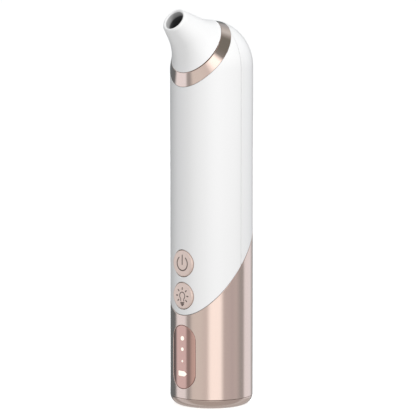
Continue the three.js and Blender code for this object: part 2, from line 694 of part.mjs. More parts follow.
function pumpCover() {
  const nipples = [
    rod(NIPPLE_RADIUS, [COVER[1] - 1, INLET_TOP]).translate(0, INLET_Y, 0),
    rod(NIPPLE_RADIUS, [COVER[1] - 1, COVER[1] + EXHAUST_LENGTH]).translate(0, EXHAUST_Y, 0),
  ];
  const bores = [INLET_Y, EXHAUST_Y]
    .map((y) => rod(NIPPLE_BORE, [COVER[0] + 1, INLET_TOP + OVERSHOOT], COARSE).translate(0, y, 0));
  const chamber = rod(PUMP_CHAMBER_RADIUS, [COVER[0] - OVERSHOOT, COVER[0] + COVER_CHAMBER]);
  const divider = block(
    [-PUMP_RADIUS, PUMP_RADIUS],
    [-DIVIDER_HALF, DIVIDER_HALF],
    [COVER[0] + 2 * MEMBRANE, COVER[1] - 1],
  );
  const holes = pumpScrewHoles(beyond(COVER));
  const cup = cut(join(rod(PUMP_RADIUS, COVER), ...nipples), chamber);
  return cut(join(cup, divider), ...bores, ...holes);
}

function valveMembrane() {
  return rod(PUMP_CHAMBER_RADIUS - GAP, [COVER[0], COVER[0] + MEMBRANE]);
}

function vibrationSleeve() {
  return tube(MOTOR_RADIUS + GAP, PUMP_RADIUS + GAP, VIBRATION_SPAN);
}

// ---- Chassis, cell and electronics ----

function chassis() {
  const screwPlaces = [-BASE_SCREW.x, BASE_SCREW.x];
  const atScrews = (form) => screwPlaces.map((x) => form.clone().translate(x, BASE_SCREW.y, 0));
  const spine = block(
    [-BOARD_HALF_WIDTH, BOARD_HALF_WIDTH],
    SPINE,
    [CHASSIS_FLOOR[1] + 2, SPINE_TOP],
  );
  const ends = cut(
    join(rod(INNER_REACH, CHASSIS_FLOOR), rod(INNER_REACH, CHASSIS_ROOF)),
    block([-SPAN, SPAN], [-SPAN, BOARD_BACK + 2 * GAP], [0, SPAN]),
    block(
      [-SOCKET_ROOM.halfWidth, SOCKET_ROOM.halfWidth],
      [-SPAN, PORT_Y + SOCKET_ROOM.behind],
      [0, CHASSIS_FLOOR[1] + OVERSHOOT],
    ),
    rod(LEAD_HOLE.radius, beyond(CHASSIS_ROOF), COARSE).translate(LEAD_HOLE.x, CELL_Y, 0),
  );
  const heights = [CHASSIS_FLOOR[0], CHASSIS_ROOF[1]];
  const rails = [[-RAIL.outer, -RAIL.inner], [RAIL.inner, RAIL.outer]]
    .map((across) => block(across, [SPINE[0], RAIL.back], heights));
  const posts = atScrews(rod(POST_RADIUS, [CAP_FLOOR + GAP, CHASSIS_FLOOR[1]], COARSE));
  const lug = common(
    block([-LUG.halfWidth, LUG.halfWidth], [LUG.front, BODY_RADIUS], [CHASSIS_ROOF[0], LUG.top]),
    rod(INNER_REACH, [0, SPAN]),
  );
  const pilots = atScrews(rod(BASE_SCREW.pilotRadius, [0, CHASSIS_FLOOR[1] + OVERSHOOT], COARSE));
  const screwHoles = SHELL_SCREW_HEIGHTS
    .map((z) => crossRod(SHELL_SCREW_HOLE, [LUG.front - OVERSHOOT, BODY_RADIUS], 0, z, COARSE));
  return cut(join(spine, ends, ...rails, ...posts, lug), ...pilots, ...screwHoles);
}

function batteryCell() {
  const [bottom, top] = CELL;
  const cap = top - CELL_BUTTON.height;
  const face = CELL_RADIUS - CELL_EDGE;
  return turned([
    [0, bottom], [face, bottom], [CELL_RADIUS, bottom + CELL_EDGE], [CELL_RADIUS, cap - CELL_EDGE],
    [face, cap], [CELL_BUTTON.radius, cap], [CELL_BUTTON.radius, top], [0, top],
  ]);
}

function mainBoard() {
  const board = block(
    [-BOARD_HALF_WIDTH, BOARD_HALF_WIDTH],
    [BOARD_FRONT, BOARD_BACK],
    [BOARD_BOTTOM, BOARD_TOP],
  );
  const { halfWidth, top } = BOARD_NOTCH;
  return cut(board, block([-halfWidth, halfWidth], [-SPAN, SPAN], [0, top]));
}

// Steel shell with the contact tongue inside, open downwards
function usbSocket() {
  const { low, depth, halfDepth, halfWidth, sheet } = SOCKET_METAL;
  const high = low + depth;
  const shell = cut(
    portSlab(halfDepth, halfWidth, [low, high]),
    portSlab(halfDepth - sheet, halfWidth - sheet, [low - OVERSHOOT, high - OVERSHOOT]),
  );
  const tongue = block(
    [-SOCKET_TONGUE.halfWidth, SOCKET_TONGUE.halfWidth],
    [PORT_Y - SOCKET_TONGUE.halfDepth, PORT_Y + SOCKET_TONGUE.halfDepth],
    [low + SOCKET_TONGUE.front, high - SOCKET_TONGUE.back],
  );
  return join(shell, tongue);
}

const SWITCH_BACK = BOARD_FRONT - GAP;
const SWITCH_FRONT = SWITCH_BACK - SWITCH.depth;

function tactSwitch() {
  const across = [-SWITCH.width / 2, SWITCH.width / 2];
  const body = block(across, [SWITCH_FRONT, SWITCH_BACK], across);
  const well = [SWITCH_FRONT - OVERSHOOT, SWITCH_FRONT + SWITCH.wellDepth];
  return cut(body, crossRod(SWITCH.wellRadius, well, 0, 0, COARSE));
}

function switchPlunger() {
  const inner = SWITCH_FRONT + SWITCH.wellDepth - BUTTON_TRAVEL - GAP;
  return crossRod(PLUNGER.radius, [SWITCH_FRONT - PLUNGER.reach, inner], 0, 0, COARSE);
}

function indicatorLamp() {
  return block(
    [-LAMP_CHIP.width / 2, LAMP_CHIP.width / 2],
    [SWITCH_BACK - LAMP_CHIP.depth, SWITCH_BACK],
    [-LAMP_CHIP.height / 2, LAMP_CHIP.height / 2],
  );
}

// Keeps the four lamps apart behind the window
function indicatorMask() {
  const span = [MASK.front, BOARD_FRONT - MASK.clearOfBoard];
  const outline = stadium(WINDOW_HALF_WIDTH - MASK.margin, WINDOW_HALF_HEIGHT - MASK.margin);
  const wells = LAMPS.map(({ z, radius }) => crossRod(radius, beyond(span), 0, z, COARSE));
  const { z, halfWidth, halfHeight } = BATTERY_LAMP;
  const batteryWell = block([-halfWidth, halfWidth], beyond(span), [z - halfHeight, z + halfHeight]);
  return cut(pushed(outline, span, WINDOW_Z), ...wells, batteryWell);
}

function wire(points) {
  const path = new THREE.CatmullRomCurve3(points.map((point) => new THREE.Vector3(...point)));
  return hose(path, WIRE_RADIUS, 0, WIRE_STEPS * points.length, WIRE_SIDES);
}

// ---- Finishes ----

function finish(color, roughness, metalness = 0) {
  return () => new THREE.MeshStandardMaterial({ color, roughness, metalness });
}

const white = finish(0xf4f4f4, 0.3);
const roseGold = finish(0xc9aa9c, 0.15, 1);
const buttonPink = finish(0xe3cec4, 0.35, 0.3);
const smokedPink = finish(0xa9817a, 0.15);
const greyPlastic = finish(0xb8b8ba, 0.5);
const blackPlastic = finish(0x26262a, 0.5);
const steel = finish(0x9a9da1, 0.35, 1);
const brass = finish(0xb58a4a, 0.4, 1);
const ferrite = finish(0x3a3a3d, 0.7);
const copper = finish(0xa65e35, 0.45, 0.8);
const silicone = finish(0xdadada, 0.6);
const blackRubber = finish(0x1d1d1f, 0.8);
const foam = finish(0x77797c, 0.95);
const boardGreen = finish(0x1f5a3a, 0.5);
const lampWhite = finish(0xfff6e0, 0.3);
const cellWrap = finish(0x2f6fae, 0.45);
const redWire = finish(0xb3262a, 0.5);
const blackWire = finish(0x222222, 0.5);

// ---- Assembly ----

const extractor = new THREE.Group();
const head = new THREE.Group();
head.position.set(0, HEAD_Y, HEAD_Z);
head.rotation.x = HEAD_TILT;
extractor.add(head);

function place(group, name, geometry, material, position = [0, 0, 0], turn = [0, 0, 0]) {
  geometry.computeVertexNormals();
  const mesh = new THREE.Mesh(geometry, material());
  mesh.name = name;
  mesh.position.set(...position);
  mesh.rotation.set(...turn);
  group.add(mesh);
}

place(extractor, 'front_shell', frontShell(), white);
place(extractor, 'rear_shell', rearShell(), white);
place(extractor, 'base_sleeve', baseSleeve(), roseGold);
place(extractor, 'bottom_cap', bottomCap(), roseGold);
place(extractor, 'indicator_window', indicatorWindow(), smokedPink);

place(head, 'trim_ring', trimRing(), roseGold);
place(head, 'suction_nozzle', suctionNozzle(), white);
place(head, 'nozzle_seat', nozzleSeat(), greyPlastic);
place(head, 'seal_ring', sealRing(), blackRubber);
place(head, 'filter_foam', filterFoam(), foam);
place(head, 'light_ring_board', lightRingBoard(), boardGreen);
around(HEAD_LAMP.count, (angle, index) => place(
  head,
  `head_lamp_${index + 1}`,
  headLamp(),
  lampWhite,
  onCircle(HEAD_LAMP.circle, angle, FLANGE[1] + LIGHT_BOARD.thickness + 2 * GAP),
  [0, 0, angle],
));
place(extractor, 'suction_hose', suctionHose(), silicone);

place(extractor, 'motor_can', motorCan(), steel);
place(extractor, 'motor_end_cap', motorEndCap(), blackPlastic);
place(extractor, 'motor_magnet_left', magnet(Math.PI), ferrite);
place(extractor, 'motor_magnet_right', magnet(0), ferrite);
place(extractor, 'motor_armature', motorArmature(), copper);
place(extractor, 'motor_shaft', motorShaft(), steel);
place(extractor, 'lower_bearing', bearing(MOTOR_BOTTOM + 0.2), brass);
place(extractor, 'upper_bearing', bearing(CAN[1] - 2.4), brass);
place(extractor, 'vibration_sleeve', vibrationSleeve(), blackRubber);

place(extractor, 'pump_base', pumpBase(), blackPlastic);
place(extractor, 'crank', crank(), steel);
place(extractor, 'wobble_plate', wobblePlate(), greyPlastic);
place(extractor, 'diaphragm', diaphragm(), blackRubber);
place(extractor, 'valve_plate', valvePlate(), greyPlastic);
place(extractor, 'valve_membrane', valveMembrane(), blackRubber);
place(extractor, 'pump_cover', pumpCover(), blackPlastic);
around(CUPS, (angle, index) => place(
  extractor,
  `pump_screw_${index + 1}`,
  screw(...PUMP_SCREW),
  steel,
  onCircle(PUMP_SCREW_CIRCLE, angle, COVER[1] + GAP),
));

place(extractor, 'chassis', chassis(), greyPlastic);
place(extractor, 'battery_cell', batteryCell(), cellWrap, [0, CELL_Y, 0]);
SHELL_SCREW_HEIGHTS.forEach((z, index) => place(
  extractor,
  `shell_screw_${index + 1}`,
  screw(...SHELL_SCREW),
  steel,
  [0, SKIRT_OUTER - SHELL_SCREW_RECESS.depth + GAP, z],
  [-Math.PI / 2, 0, 0],
));
[-1, 1].forEach((side, index) => place(
  extractor,
  `base_screw_${index + 1}`,
  screw(...CAP_SCREW),
  steel,
  [side * BASE_SCREW.x, BASE_SCREW.y, BASE_SCREW.recessDepth - GAP],
  [Math.PI, 0, 0],
));

place(extractor, 'main_board', mainBoard(), boardGreen);
place(extractor, 'usb_socket', usbSocket(), steel);
place(extractor, 'indicator_mask', indicatorMask(), blackPlastic);
LAMPS.forEach(({ name, z }) => place(
  extractor,
  `indicator_lamp_${name}`,
  indicatorLamp(),
  lampWhite,
  [0, 0, z],
));
place(extractor, 'indicator_lamp_battery', indicatorLamp(), lampWhite, [0, 0, BATTERY_LAMP.z]);
Object.entries(BUTTONS).forEach(([name, z]) => {
  place(extractor, `${name}_button`, button(), buttonPink, [0, -BODY_RADIUS, z]);
  place(extractor, `${name}_switch`, tactSwitch(), blackPlastic, [0, 0, z]);
  place(extractor, `${name}_switch_plunger`, switchPlunger(), blackPlastic, [0, 0, z]);
});

// Each lead ends just short of the board, on its rear face
const LEAD_END_Y = BOARD_BACK + WIRE_RADIUS + GAP;
place(extractor, 'battery_lead_red', wire([
  [LEAD_HOLE.x, CELL_Y, CELL[1] + GAP], [LEAD_HOLE.x, CELL_Y, 79], [-4, 0, 81.5], [-5, LEAD_END_Y, 83.2],
]), redWire);
place(extractor, 'battery_lead_black', wire([
  [3, CELL_Y, 8.4], [11, 4.8, 8.4], [13.6, 3, 12], [13.6, 0, 34], [13.6, -4, 52], [12, -8.8, 58],
]), blackWire);
place(extractor, 'motor_lead_red', wire([
  [-9, 0, MOTOR_BOTTOM - 2 * GAP], [-9.3, -3, 86], [-9.5, LEAD_END_Y, 83.4],
]), redWire);
place(extractor, 'motor_lead_black', wire([
  [9, 0, MOTOR_BOTTOM - 2 * GAP], [9.3, -3, 86], [9.5, LEAD_END_Y, 83.4],
]), blackWire);

export default extractor;
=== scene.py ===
"""Looks of the blackhead vacuum extractor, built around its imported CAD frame.

Shapes are worked out in millimetres, in the frame's own axes, and turned into metres
where a mesh is made. The front of the object faces -Y.
"""

import json
from math import acos, asin, atan2, ceil, cos, degrees, dist, hypot, pi, radians, sin, sqrt, tan

import bmesh
import bpy
import numpy as np
from mathutils import Matrix, Vector
from mathutils.geometry import delaunay_2d_cdt
from mathutils.noise import noise_vector, seed_set


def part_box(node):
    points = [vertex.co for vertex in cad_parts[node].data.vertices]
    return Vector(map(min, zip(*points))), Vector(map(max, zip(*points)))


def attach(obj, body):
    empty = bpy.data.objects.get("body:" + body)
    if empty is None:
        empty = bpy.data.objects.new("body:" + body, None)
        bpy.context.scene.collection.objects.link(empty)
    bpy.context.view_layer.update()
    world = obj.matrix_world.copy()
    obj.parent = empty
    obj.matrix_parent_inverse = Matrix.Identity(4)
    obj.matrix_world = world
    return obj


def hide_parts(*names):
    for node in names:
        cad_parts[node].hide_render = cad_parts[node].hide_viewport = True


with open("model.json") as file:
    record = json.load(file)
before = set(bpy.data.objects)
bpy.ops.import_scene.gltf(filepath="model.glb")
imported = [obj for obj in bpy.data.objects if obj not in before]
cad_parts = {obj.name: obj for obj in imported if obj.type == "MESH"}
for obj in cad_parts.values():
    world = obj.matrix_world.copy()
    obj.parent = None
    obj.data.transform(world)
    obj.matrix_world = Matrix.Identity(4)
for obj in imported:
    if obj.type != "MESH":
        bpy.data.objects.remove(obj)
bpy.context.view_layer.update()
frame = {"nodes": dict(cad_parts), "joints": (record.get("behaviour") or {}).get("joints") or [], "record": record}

MM = 0.001


def box_mm(node):
    low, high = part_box(node)
    return low / MM, high / MM


def middle_mm(node):
    low, high = box_mm(node)
    return (low + high) / 2


# ---- Driving dimensions, in millimetres

SLEEVE_LOW, SLEEVE_HIGH = box_mm("base_sleeve")
BODY_RADIUS = SLEEVE_HIGH.x
WALL = 2.0
GAP = 0.3
SEAM = 0.16  # width of the parting line between the two shells
SLEEVE_SEAM = 0.14  # between the sleeve's leaning edge and the shells
LIP_EDGE = 0.25  # radius of the shells' lower lip and of the button holes
SEAM_EDGE = 0.10
RIM_EDGE = 0.06  # where the shells meet the polished ring
DOME_START = 164.0
DOME_HEIGHT = 22.2
DOME_GIRTH = (BODY_RADIUS + DOME_HEIGHT) / 2
SLEEVE_SLOPE = tan(radians(50))
SLEEVE_EDGE_MID = SLEEVE_HIGH.z - SLEEVE_SLOPE * BODY_RADIUS
CAP_SEAM = SLEEVE_LOW.z - GAP
BASE_FILLET = 5.0
FOOT_RADIUS = BODY_RADIUS - BASE_FILLET

BUTTON_RADIUS = 6.4
BUTTON_CROWN = 0.15
BUTTON_RIM_DEPTH = 3.0
BUTTON_STEM_RADIUS = 5.6
BUTTONS = {"power": middle_mm("power_button").z, "light": middle_mm("light_button").z}

WINDOW_LOW, WINDOW_HIGH = box_mm("indicator_window")
WINDOW_HALF_WIDTH = WINDOW_HIGH.x
WINDOW_HALF_HEIGHT = (WINDOW_HIGH.z - WINDOW_LOW.z) / 2
WINDOW_Z = (WINDOW_HIGH.z + WINDOW_LOW.z) / 2
WINDOW_GAP = 0.12
WINDOW_RECESS = 0.05
LEGEND_RECESS = 0.02

HEAD_NORMAL = Vector(next(j for j in frame["joints"] if j["name"] == "nozzle_pull")["axis"])
SEAL_HEIGHT = 8.2
HEAD_ORIGIN = middle_mm("seal_ring") - HEAD_NORMAL * SEAL_HEIGHT
HEAD = Matrix.Translation(HEAD_ORIGIN) @ Matrix.Rotation(atan2(-HEAD_NORMAL.y, HEAD_NORMAL.z), 4, "X")
RING_FOOT = 0.04
RING_HEIGHT = 3.9
RING_WALL = 1.8
NOZZLE_FOOT = 4.2
NOZZLE_LENGTH = 24.2
NOZZLE_BASE_RADIUS = 14.6
NOZZLE_TIP_RADIUS = 6.4
NOZZLE_HOLE_RADIUS = 4.9
NOZZLE_TAPER = 5.7
NOZZLE_OVAL = (13.9, 15.6)
NOZZLE_OVAL_SHIFT = -1.2
NOZZLE_WALL = 1.8
NOZZLE_RECESS = 8.6  # height of the groove between the socket and the skirt
SOCKET_RADIUS = 8.3
SOCKET_OUTER = 9.6
SOCKET_TOP = 12.0
HOLE_BOTTOM = 14.5
SPIGOT_RADIUS = 7.9
SPIGOT_BORE = 5.6
SPIGOT_TOP = 11.5
SHELF_TOP = 6.2
SEAL_GROOVE = (7.4, 9.0)
FOAM_TOP = 10.5
FOAM_SEED = 11
FLANGE = (-3.0, -0.4)
FLANGE_RADIUS = 14.0
FLANGE_MARGIN = 2.9  # between the flange's rim and the outside of the body
NIPPLE_RADIUS = 2.4
NIPPLE_BORE = 1.5
NIPPLE_END = -9.0
LIGHT_BOARD_RADIUS = 12.2
HEAD_LAMP_WIDTH = 2.8
LENS_RADIUS = 1.05

PORT_HALF_WIDTH = 4.8
PORT_HALF_DEPTH = 1.95
VENT_RADIUS = 0.8
VENT_Y = 10
VENTS_X = (-6, -3, 0, 3, 6)
RECESS_RADIUS = 2.2
RECESS_DEPTH = 1.4
SCREW_CROWN = 0.2
CROSS_REACH = 1.1
CROSS_HALF_WIDTH = 0.28
SOCKET_SHEET = 0.3
SOCKET_LIP = 0.15
TONGUE_HALF_WIDTH = 3.3
TONGUE_HALF_DEPTH = 0.35
TONGUE_START = 1.0

PRINT_EDGE = 0.02
PRINT_DEPTH = 0.04
LEGEND_RADII = {"large": 1.1, "medium": 0.85, "small": 0.52}
ICON_LINE = 0.56
BULB_LINE = 0.42
TINY = 0.01  # half size of a loop that closes a surface as a point does
INTO_BODY = (0, 1, 0)  # the way in from the front

TURN_STEPS = 128
GRID_SPACING = 1.0


# ---- Outlines on a flat plane

def spaced(start, end, steps):
    """Evenly spaced values, both ends included."""
    return [start + (end - start) * step / steps for step in range(steps + 1)]


def arc(centre, radius, start, end, steps):
    """Points on an arc between two angles in degrees, both ends included."""
    angles = [radians(angle) for angle in spaced(start, end, steps)]
    return [(centre[0] + radius * cos(a), centre[1] + radius * sin(a)) for a in angles]


def circle(centre, radius, steps=72):
    return arc(centre, radius, 0, 360, steps)[:-1]


def stadium(centre, half_width, half_height, steps=36):
    """A slot that stands upright, with straight sides and round ends."""
    x, y = centre
    reach = half_height - half_width
    rises = spaced(y - reach, y + reach, 24)[1:-1]
    right = [(x + half_width, rise) for rise in rises]
    left = [(x - half_width, rise) for rise in reversed(rises)]
    top = arc((x, y + reach), half_width, 0, 180, steps)
    bottom = arc((x, y - reach), half_width, 180, 360, steps)
    return right + top + left + bottom


def hole(outline):
    return list(reversed(outline))


def dense(outline, step):
    """The same outline with points no further apart than a step."""
    result = []
    for start, end in zip(outline, outline[1:] + outline[:1]):
        count = max(1, ceil(dist(start, end) / step))
        for part in range(count):
            share = part / count
            result.append((start[0] + (end[0] - start[0]) * share, start[1] + (end[1] - start[1]) * share))
    return result


def inset(loop, distance):
    """Moves a loop to its left side by a distance, or by one distance for each point."""
    points = np.array(loop)
    distance = np.broadcast_to(distance, len(loop))[:, None]
    ahead = np.roll(points, -1, axis=0) - points
    ahead /= np.linalg.norm(ahead, axis=1, keepdims=True)
    left = np.stack([-ahead[:, 1], ahead[:, 0]], axis=1)
    both = left + np.roll(left, 1, axis=0)
    both *= 2 / np.sum(both * both, axis=1, keepdims=True)
    return [tuple(point) for point in points + both * distance]


def stroke(path, width, end_steps=6):
    """Outline of a line of some width with round ends, along a path."""
    points = np.array(path, float)
    ahead = np.gradient(points, axis=0)
    ahead /= np.linalg.norm(ahead, axis=1, keepdims=True)
    left = np.stack([-ahead[:, 1], ahead[:, 0]], axis=1) * width / 2
    start_angle = degrees(atan2(left[0][1], left[0][0]))
    end_angle = degrees(atan2(-left[-1][1], -left[-1][0]))
    start_cap = arc(points[0], width / 2, start_angle, start_angle + 180, end_steps)
    end_cap = arc(points[-1], width / 2, end_angle, end_angle + 180, end_steps)
    return (
        start_cap
        + [tuple(point) for point in (points - left)[1:-1]]
        + end_cap
        + [tuple(point) for point in (points + left)[-2:0:-1]]
    )


def inside(points, loop):
    """Which points lie inside a loop."""
    starts = np.array(loop)
    ends = np.roll(starts, -1, axis=0)
    x, y = points[:, 0][:, None], points[:, 1][:, None]
    crosses = (starts[:, 1] > y) != (ends[:, 1] > y)
    rise = ends[:, 1] - starts[:, 1]
    rise = np.where(rise == 0, 1e-12, rise)
    at = starts[:, 0] + (y - starts[:, 1]) / rise * (ends[:, 0] - starts[:, 0])
    return np.sum(crosses & (x < at), axis=1) % 2 == 1


def clearance(points, loop):
    """Distance from each point to a loop."""
    starts = np.array(loop)
    along = np.roll(starts, -1, axis=0) - starts
    offset = points[:, None, :] - starts
    share = np.clip(np.sum(offset * along, axis=2) / np.sum(along * along, axis=1), 0, 1)
    nearest = offset - share[:, :, None] * along
    return np.sqrt(np.sum(nearest * nearest, axis=2)).min(axis=1)


def fill(loops, spacing):
    """Flat triangles inside the first loop and outside the others, with evenly spread points."""
    points, edges = [], []
    for loop in loops:
        first = len(points)
        points.extend(loop)
        edges.extend((first + step, first + (step + 1) % len(loop)) for step in range(len(loop)))
    outline = np.array(loops[0])
    low, high = outline.min(axis=0), outline.max(axis=0)
    columns = np.arange(low[0], high[0], spacing)
    rows = np.arange(low[1], high[1], spacing)
    grid = np.array([(x, y) for x in columns for y in rows])
    if len(grid):
        keep = inside(grid, loops[0]) & (clearance(grid, loops[0]) > spacing / 2)
        for loop in loops[1:]:
            keep &= ~inside(grid, loop) & (clearance(grid, loop) > spacing / 2)
        points.extend(tuple(point) for point in grid[keep])
    flat, _, triangles, *_ = delaunay_2d_cdt([Vector(p) for p in points], edges, [], 1, 1e-6)
    middles = np.array([sum((flat[i] for i in t), Vector((0, 0))) / 3 for t in triangles])
    keep = np.ones(len(triangles), bool)
    for loop in loops[1:]:
        keep &= ~inside(middles, loop)
    return [tuple(p) for p in flat], [t for t, kept in zip(triangles, keep) if kept]


# ---- Surfaces that outlines are laid on

def on_body(u, v):
    """Outer form of the body: u runs round it, v runs up its side and over the dome."""
    angle = u / BODY_RADIUS
    if v <= DOME_START:
        return Vector((BODY_RADIUS * cos(angle), BODY_RADIUS * sin(angle), v))
    climb = (v - DOME_START) / DOME_GIRTH
    reach = BODY_RADIUS * cos(climb)
    height = DOME_START + DOME_HEIGHT * sin(climb)
    return Vector((reach * cos(angle), reach * sin(angle), height))


def on_foot(u, v):
    """Underside of the base and the round edge around it, unrolled about the centre."""
    spread = hypot(u, v)
    if spread <= FOOT_RADIUS:
        return Vector((v, u, 0))
    bend = (spread - FOOT_RADIUS) / BASE_FILLET
    reach = (FOOT_RADIUS + BASE_FILLET * sin(bend)) / spread
    return Vector((v * reach, u * reach, BASE_FILLET * (1 - cos(bend))))


def on_front(radius):
    """The front of an upright cylinder, seen straight on: u is X and v is Z."""
    return lambda u, v: Vector((u, -sqrt(max(radius * radius - u * u, 0)), v))


def on_button(z):
    """The slightly crowned face of a button."""
    return lambda u, v: Vector((u, -BODY_RADIUS + BUTTON_CROWN * (u * u + v * v) / BUTTON_RADIUS**2, z + v))


def facing(surface, u, v, step=0.05):
    """Unit normal of a surface."""
    across = surface(u + step, v) - surface(u - step, v)
    up = surface(u, v + step) - surface(u, v - step)
    return across.cross(up).normalized()


# ---- Mesh parts: lists of points, normals and faces

def patch(loops, surface, spacing=GRID_SPACING):
    flat, triangles = fill(loops, spacing)
    points = [surface(u, v) for u, v in flat]
    normals = [facing(surface, u, v) for u, v in flat]
    return points, normals, triangles


def rounded_edge(loop, surface, radius, depth, inward=None, closed_floor=False):
    """Rolls over from a patch's loop to a wall that goes into the material.

    The radius is one number, or one for each point of the loop.
    """
    bases = [surface(u, v) for u, v in loop]
    ups = [facing(surface, u, v) for u, v in loop]
    count = len(loop)
    radii = np.broadcast_to(radius, count).tolist()
    points, normals, faces = [], [], []
    bends = [radians(90 * step / 4) for step in range(5)]
    rows = [(bend, 0.0) for bend in bends] + [(bends[-1], depth)]
    for bend, wall in rows:
        for index in range(count):
            along = (bases[(index + 1) % count] - bases[index - 1]).normalized()
            outward = along.cross(ups[index]).normalized()
            into = Vector(inward) if inward else -ups[index]
            out = radii[index] * sin(bend)
            down = wall or radii[index] * (1 - cos(bend))
            points.append(bases[index] + outward * out + into * down)
            normals.append((ups[index] * cos(bend) + outward * sin(bend)).normalized())
    for row in range(len(rows) - 1):
        for index in range(count):
            following = (index + 1) % count
            near, far = row * count, (row + 1) * count
            faces.append((near + index, far + index, far + following, near + following))
    if closed_floor:
        last = len(points) - count
        faces.append([last + index for index in reversed(range(count))])
    return points, normals, faces


def combined(parts):
    points, normals, faces = [], [], []
    for some_points, some_normals, some_faces in parts:
        first = len(points)
        points.extend(some_points)
        normals.extend(some_normals)
        faces.extend([first + index for index in face] for face in some_faces)
    return points, normals, faces


def link(name, data):
    piece = bpy.data.objects.new(name, data)
    bpy.context.scene.collection.objects.link(piece)
    return piece


def finished_mesh(name, net):
    mesh = bpy.data.meshes.new(name)
    net.to_mesh(mesh)
    net.free()
    mesh.shade_smooth()
    return mesh


def smooth_piece(name, parts):
    """A piece whose shading follows the true surface under its points."""
    points, normals, faces = combined(parts)
    net = bmesh.new()
    normal_layer = net.verts.layers.float_vector.new("true_normal")
    made = [net.verts.new(point * MM) for point in points]
    for vertex, normal in zip(made, normals):
        vertex[normal_layer] = normal
    for face in faces:
        net.faces.new([made[index] for index in face])
    bmesh.ops.remove_doubles(net, verts=net.verts, dist=0.002 * MM)
    mesh = finished_mesh(name, net)
    kept = mesh.attributes["true_normal"].data
    mesh.normals_split_custom_set_from_vertices([tuple(item.vector) for item in kept])
    mesh.attributes.remove(mesh.attributes["true_normal"])
    return link(name, mesh)


def stacked_piece(name, rows, place=Matrix.Identity(4), joined_ends=False, crease=35):
    """A piece made of loops with the same number of points, one after another."""
    net = bmesh.new()
    made = [[net.verts.new(place @ Vector(point) * MM) for point in row] for row in rows]
    count = len(rows[0])
    pairs = list(zip(made, made[1:]))
    if joined_ends:
        pairs.append((made[-1], made[0]))
    for near, far in pairs:
        for index in range(count):
            following = (index + 1) % count
            net.faces.new((near[index], near[following], far[following], far[index]))
    bmesh.ops.remove_doubles(net, verts=net.verts, dist=0.001 * MM)
    bmesh.ops.recalc_face_normals(net, faces=net.faces)
    mesh = finished_mesh(name, net)
    mesh.set_sharp_from_angle(angle=radians(crease))
    return link(name, mesh)


def softened(profile, radii, steps=4):
    """Rounds the corners of an open profile, each with its own radius, and backs up each curve."""
    points = [Vector(point) for point in profile]
    result = [points[0]]
    for before, corner, after, radius in zip(points, points[1:], points[2:], radii):
        if radius == 0:
            result.append(corner)
            continue
        back = (before - corner).normalized()
        ahead = (after - corner).normalized()
        half = back.angle(ahead) / 2
        reach = min(radius / tan(half), (before - corner).length / 2.1, (after - corner).length / 2.1)
        result.append(corner + back * reach * 1.15)
        for step in range(steps + 1):
            share = step / steps
            start, end = corner + back * reach, corner + ahead * reach
            result.append(start * (1 - share) ** 2 + corner * 2 * share * (1 - share) + end * share**2)
        result.append(corner + ahead * reach * 1.15)
    result.append(points[-1])
    return [tuple(point) for point in result]


def turned_rows(profile, steps=TURN_STEPS):
    """Loops about the Z axis, one for each [radius, height] point."""
    angles = [2 * pi * step / steps for step in range(steps)]
    return [[(r * cos(a), r * sin(a), h) for a in angles] for r, h in profile]


# ---- Materials

def shader(name):
    material = bpy.data.materials.new(name)
    material.use_nodes = True
    nodes = material.node_tree.nodes
    return material, material.node_tree, nodes["Principled BSDF"]


def set_inputs(made, **inputs):
    for name, value in inputs.items():
        made.inputs[name.replace("_", " ")].default_value = value


def node(tree, kind, **inputs):
    made = tree.nodes.new(kind)
    set_inputs(made, **inputs)
    return made


def texture_place(tree, stretch=(1, 1, 1)):
    """Coordinates fixed to the piece, in metres, drawn out along chosen axes."""
    place = tree.nodes.new("ShaderNodeTexCoord").outputs["Object"]
    mapping = node(tree, "ShaderNodeMapping", Scale=stretch)
    tree.links.new(place, mapping.inputs["Vector"])
    return mapping.outputs["Vector"]


def noise(tree, vector, scale, detail=3.0, roughness=0.5):
    made = node(tree, "ShaderNodeTexNoise", Scale=scale, Detail=detail, Roughness=roughness)
    tree.links.new(vector, made.inputs["Vector"])
    return made.outputs["Fac"]


def ramp(tree, factor, stops):
    made = tree.nodes.new("ShaderNodeValToRGB")
    elements = made.color_ramp.elements
    while len(elements) < len(stops):
        elements.new(0.5)
    for element, (position, colour) in zip(elements, stops):
        element.position = position
        element.color = (*colour, 1.0)
    tree.links.new(factor, made.inputs["Fac"])
    return made.outputs["Color"]


def mapped(tree, value, start, end=(0.0, 1.0)):
    """A value moved from one range to another."""
    names = ("From_Min", "From_Max", "To_Min", "To_Max")
    made = node(tree, "ShaderNodeMapRange", **dict(zip(names, (*start, *end))))
    tree.links.new(value, made.inputs["Value"])
    return made.outputs["Result"]


def spread(tree, factor, low, high):
    """The middle values of a noise, spread from low to high."""
    return mapped(tree, factor, (0.3, 0.7), (low, high))


def operate(tree, kind, operation, *inputs):
    """Outputs of a math node; each input is a link or a fixed value."""
    made = tree.nodes.new(kind)
    made.operation = operation
    for socket, given in zip(made.inputs, inputs):
        if isinstance(given, bpy.types.NodeSocket):
            tree.links.new(given, socket)
        else:
            socket.default_value = given
    return made.outputs


def bump(tree, height, strength, distance):
    made = node(tree, "ShaderNodeBump", Strength=strength, Distance=distance)
    tree.links.new(height, made.inputs["Height"])
    return made.outputs["Normal"]


def scaled(colour, factor):
    return tuple(min(1.0, channel * factor) for channel in colour)


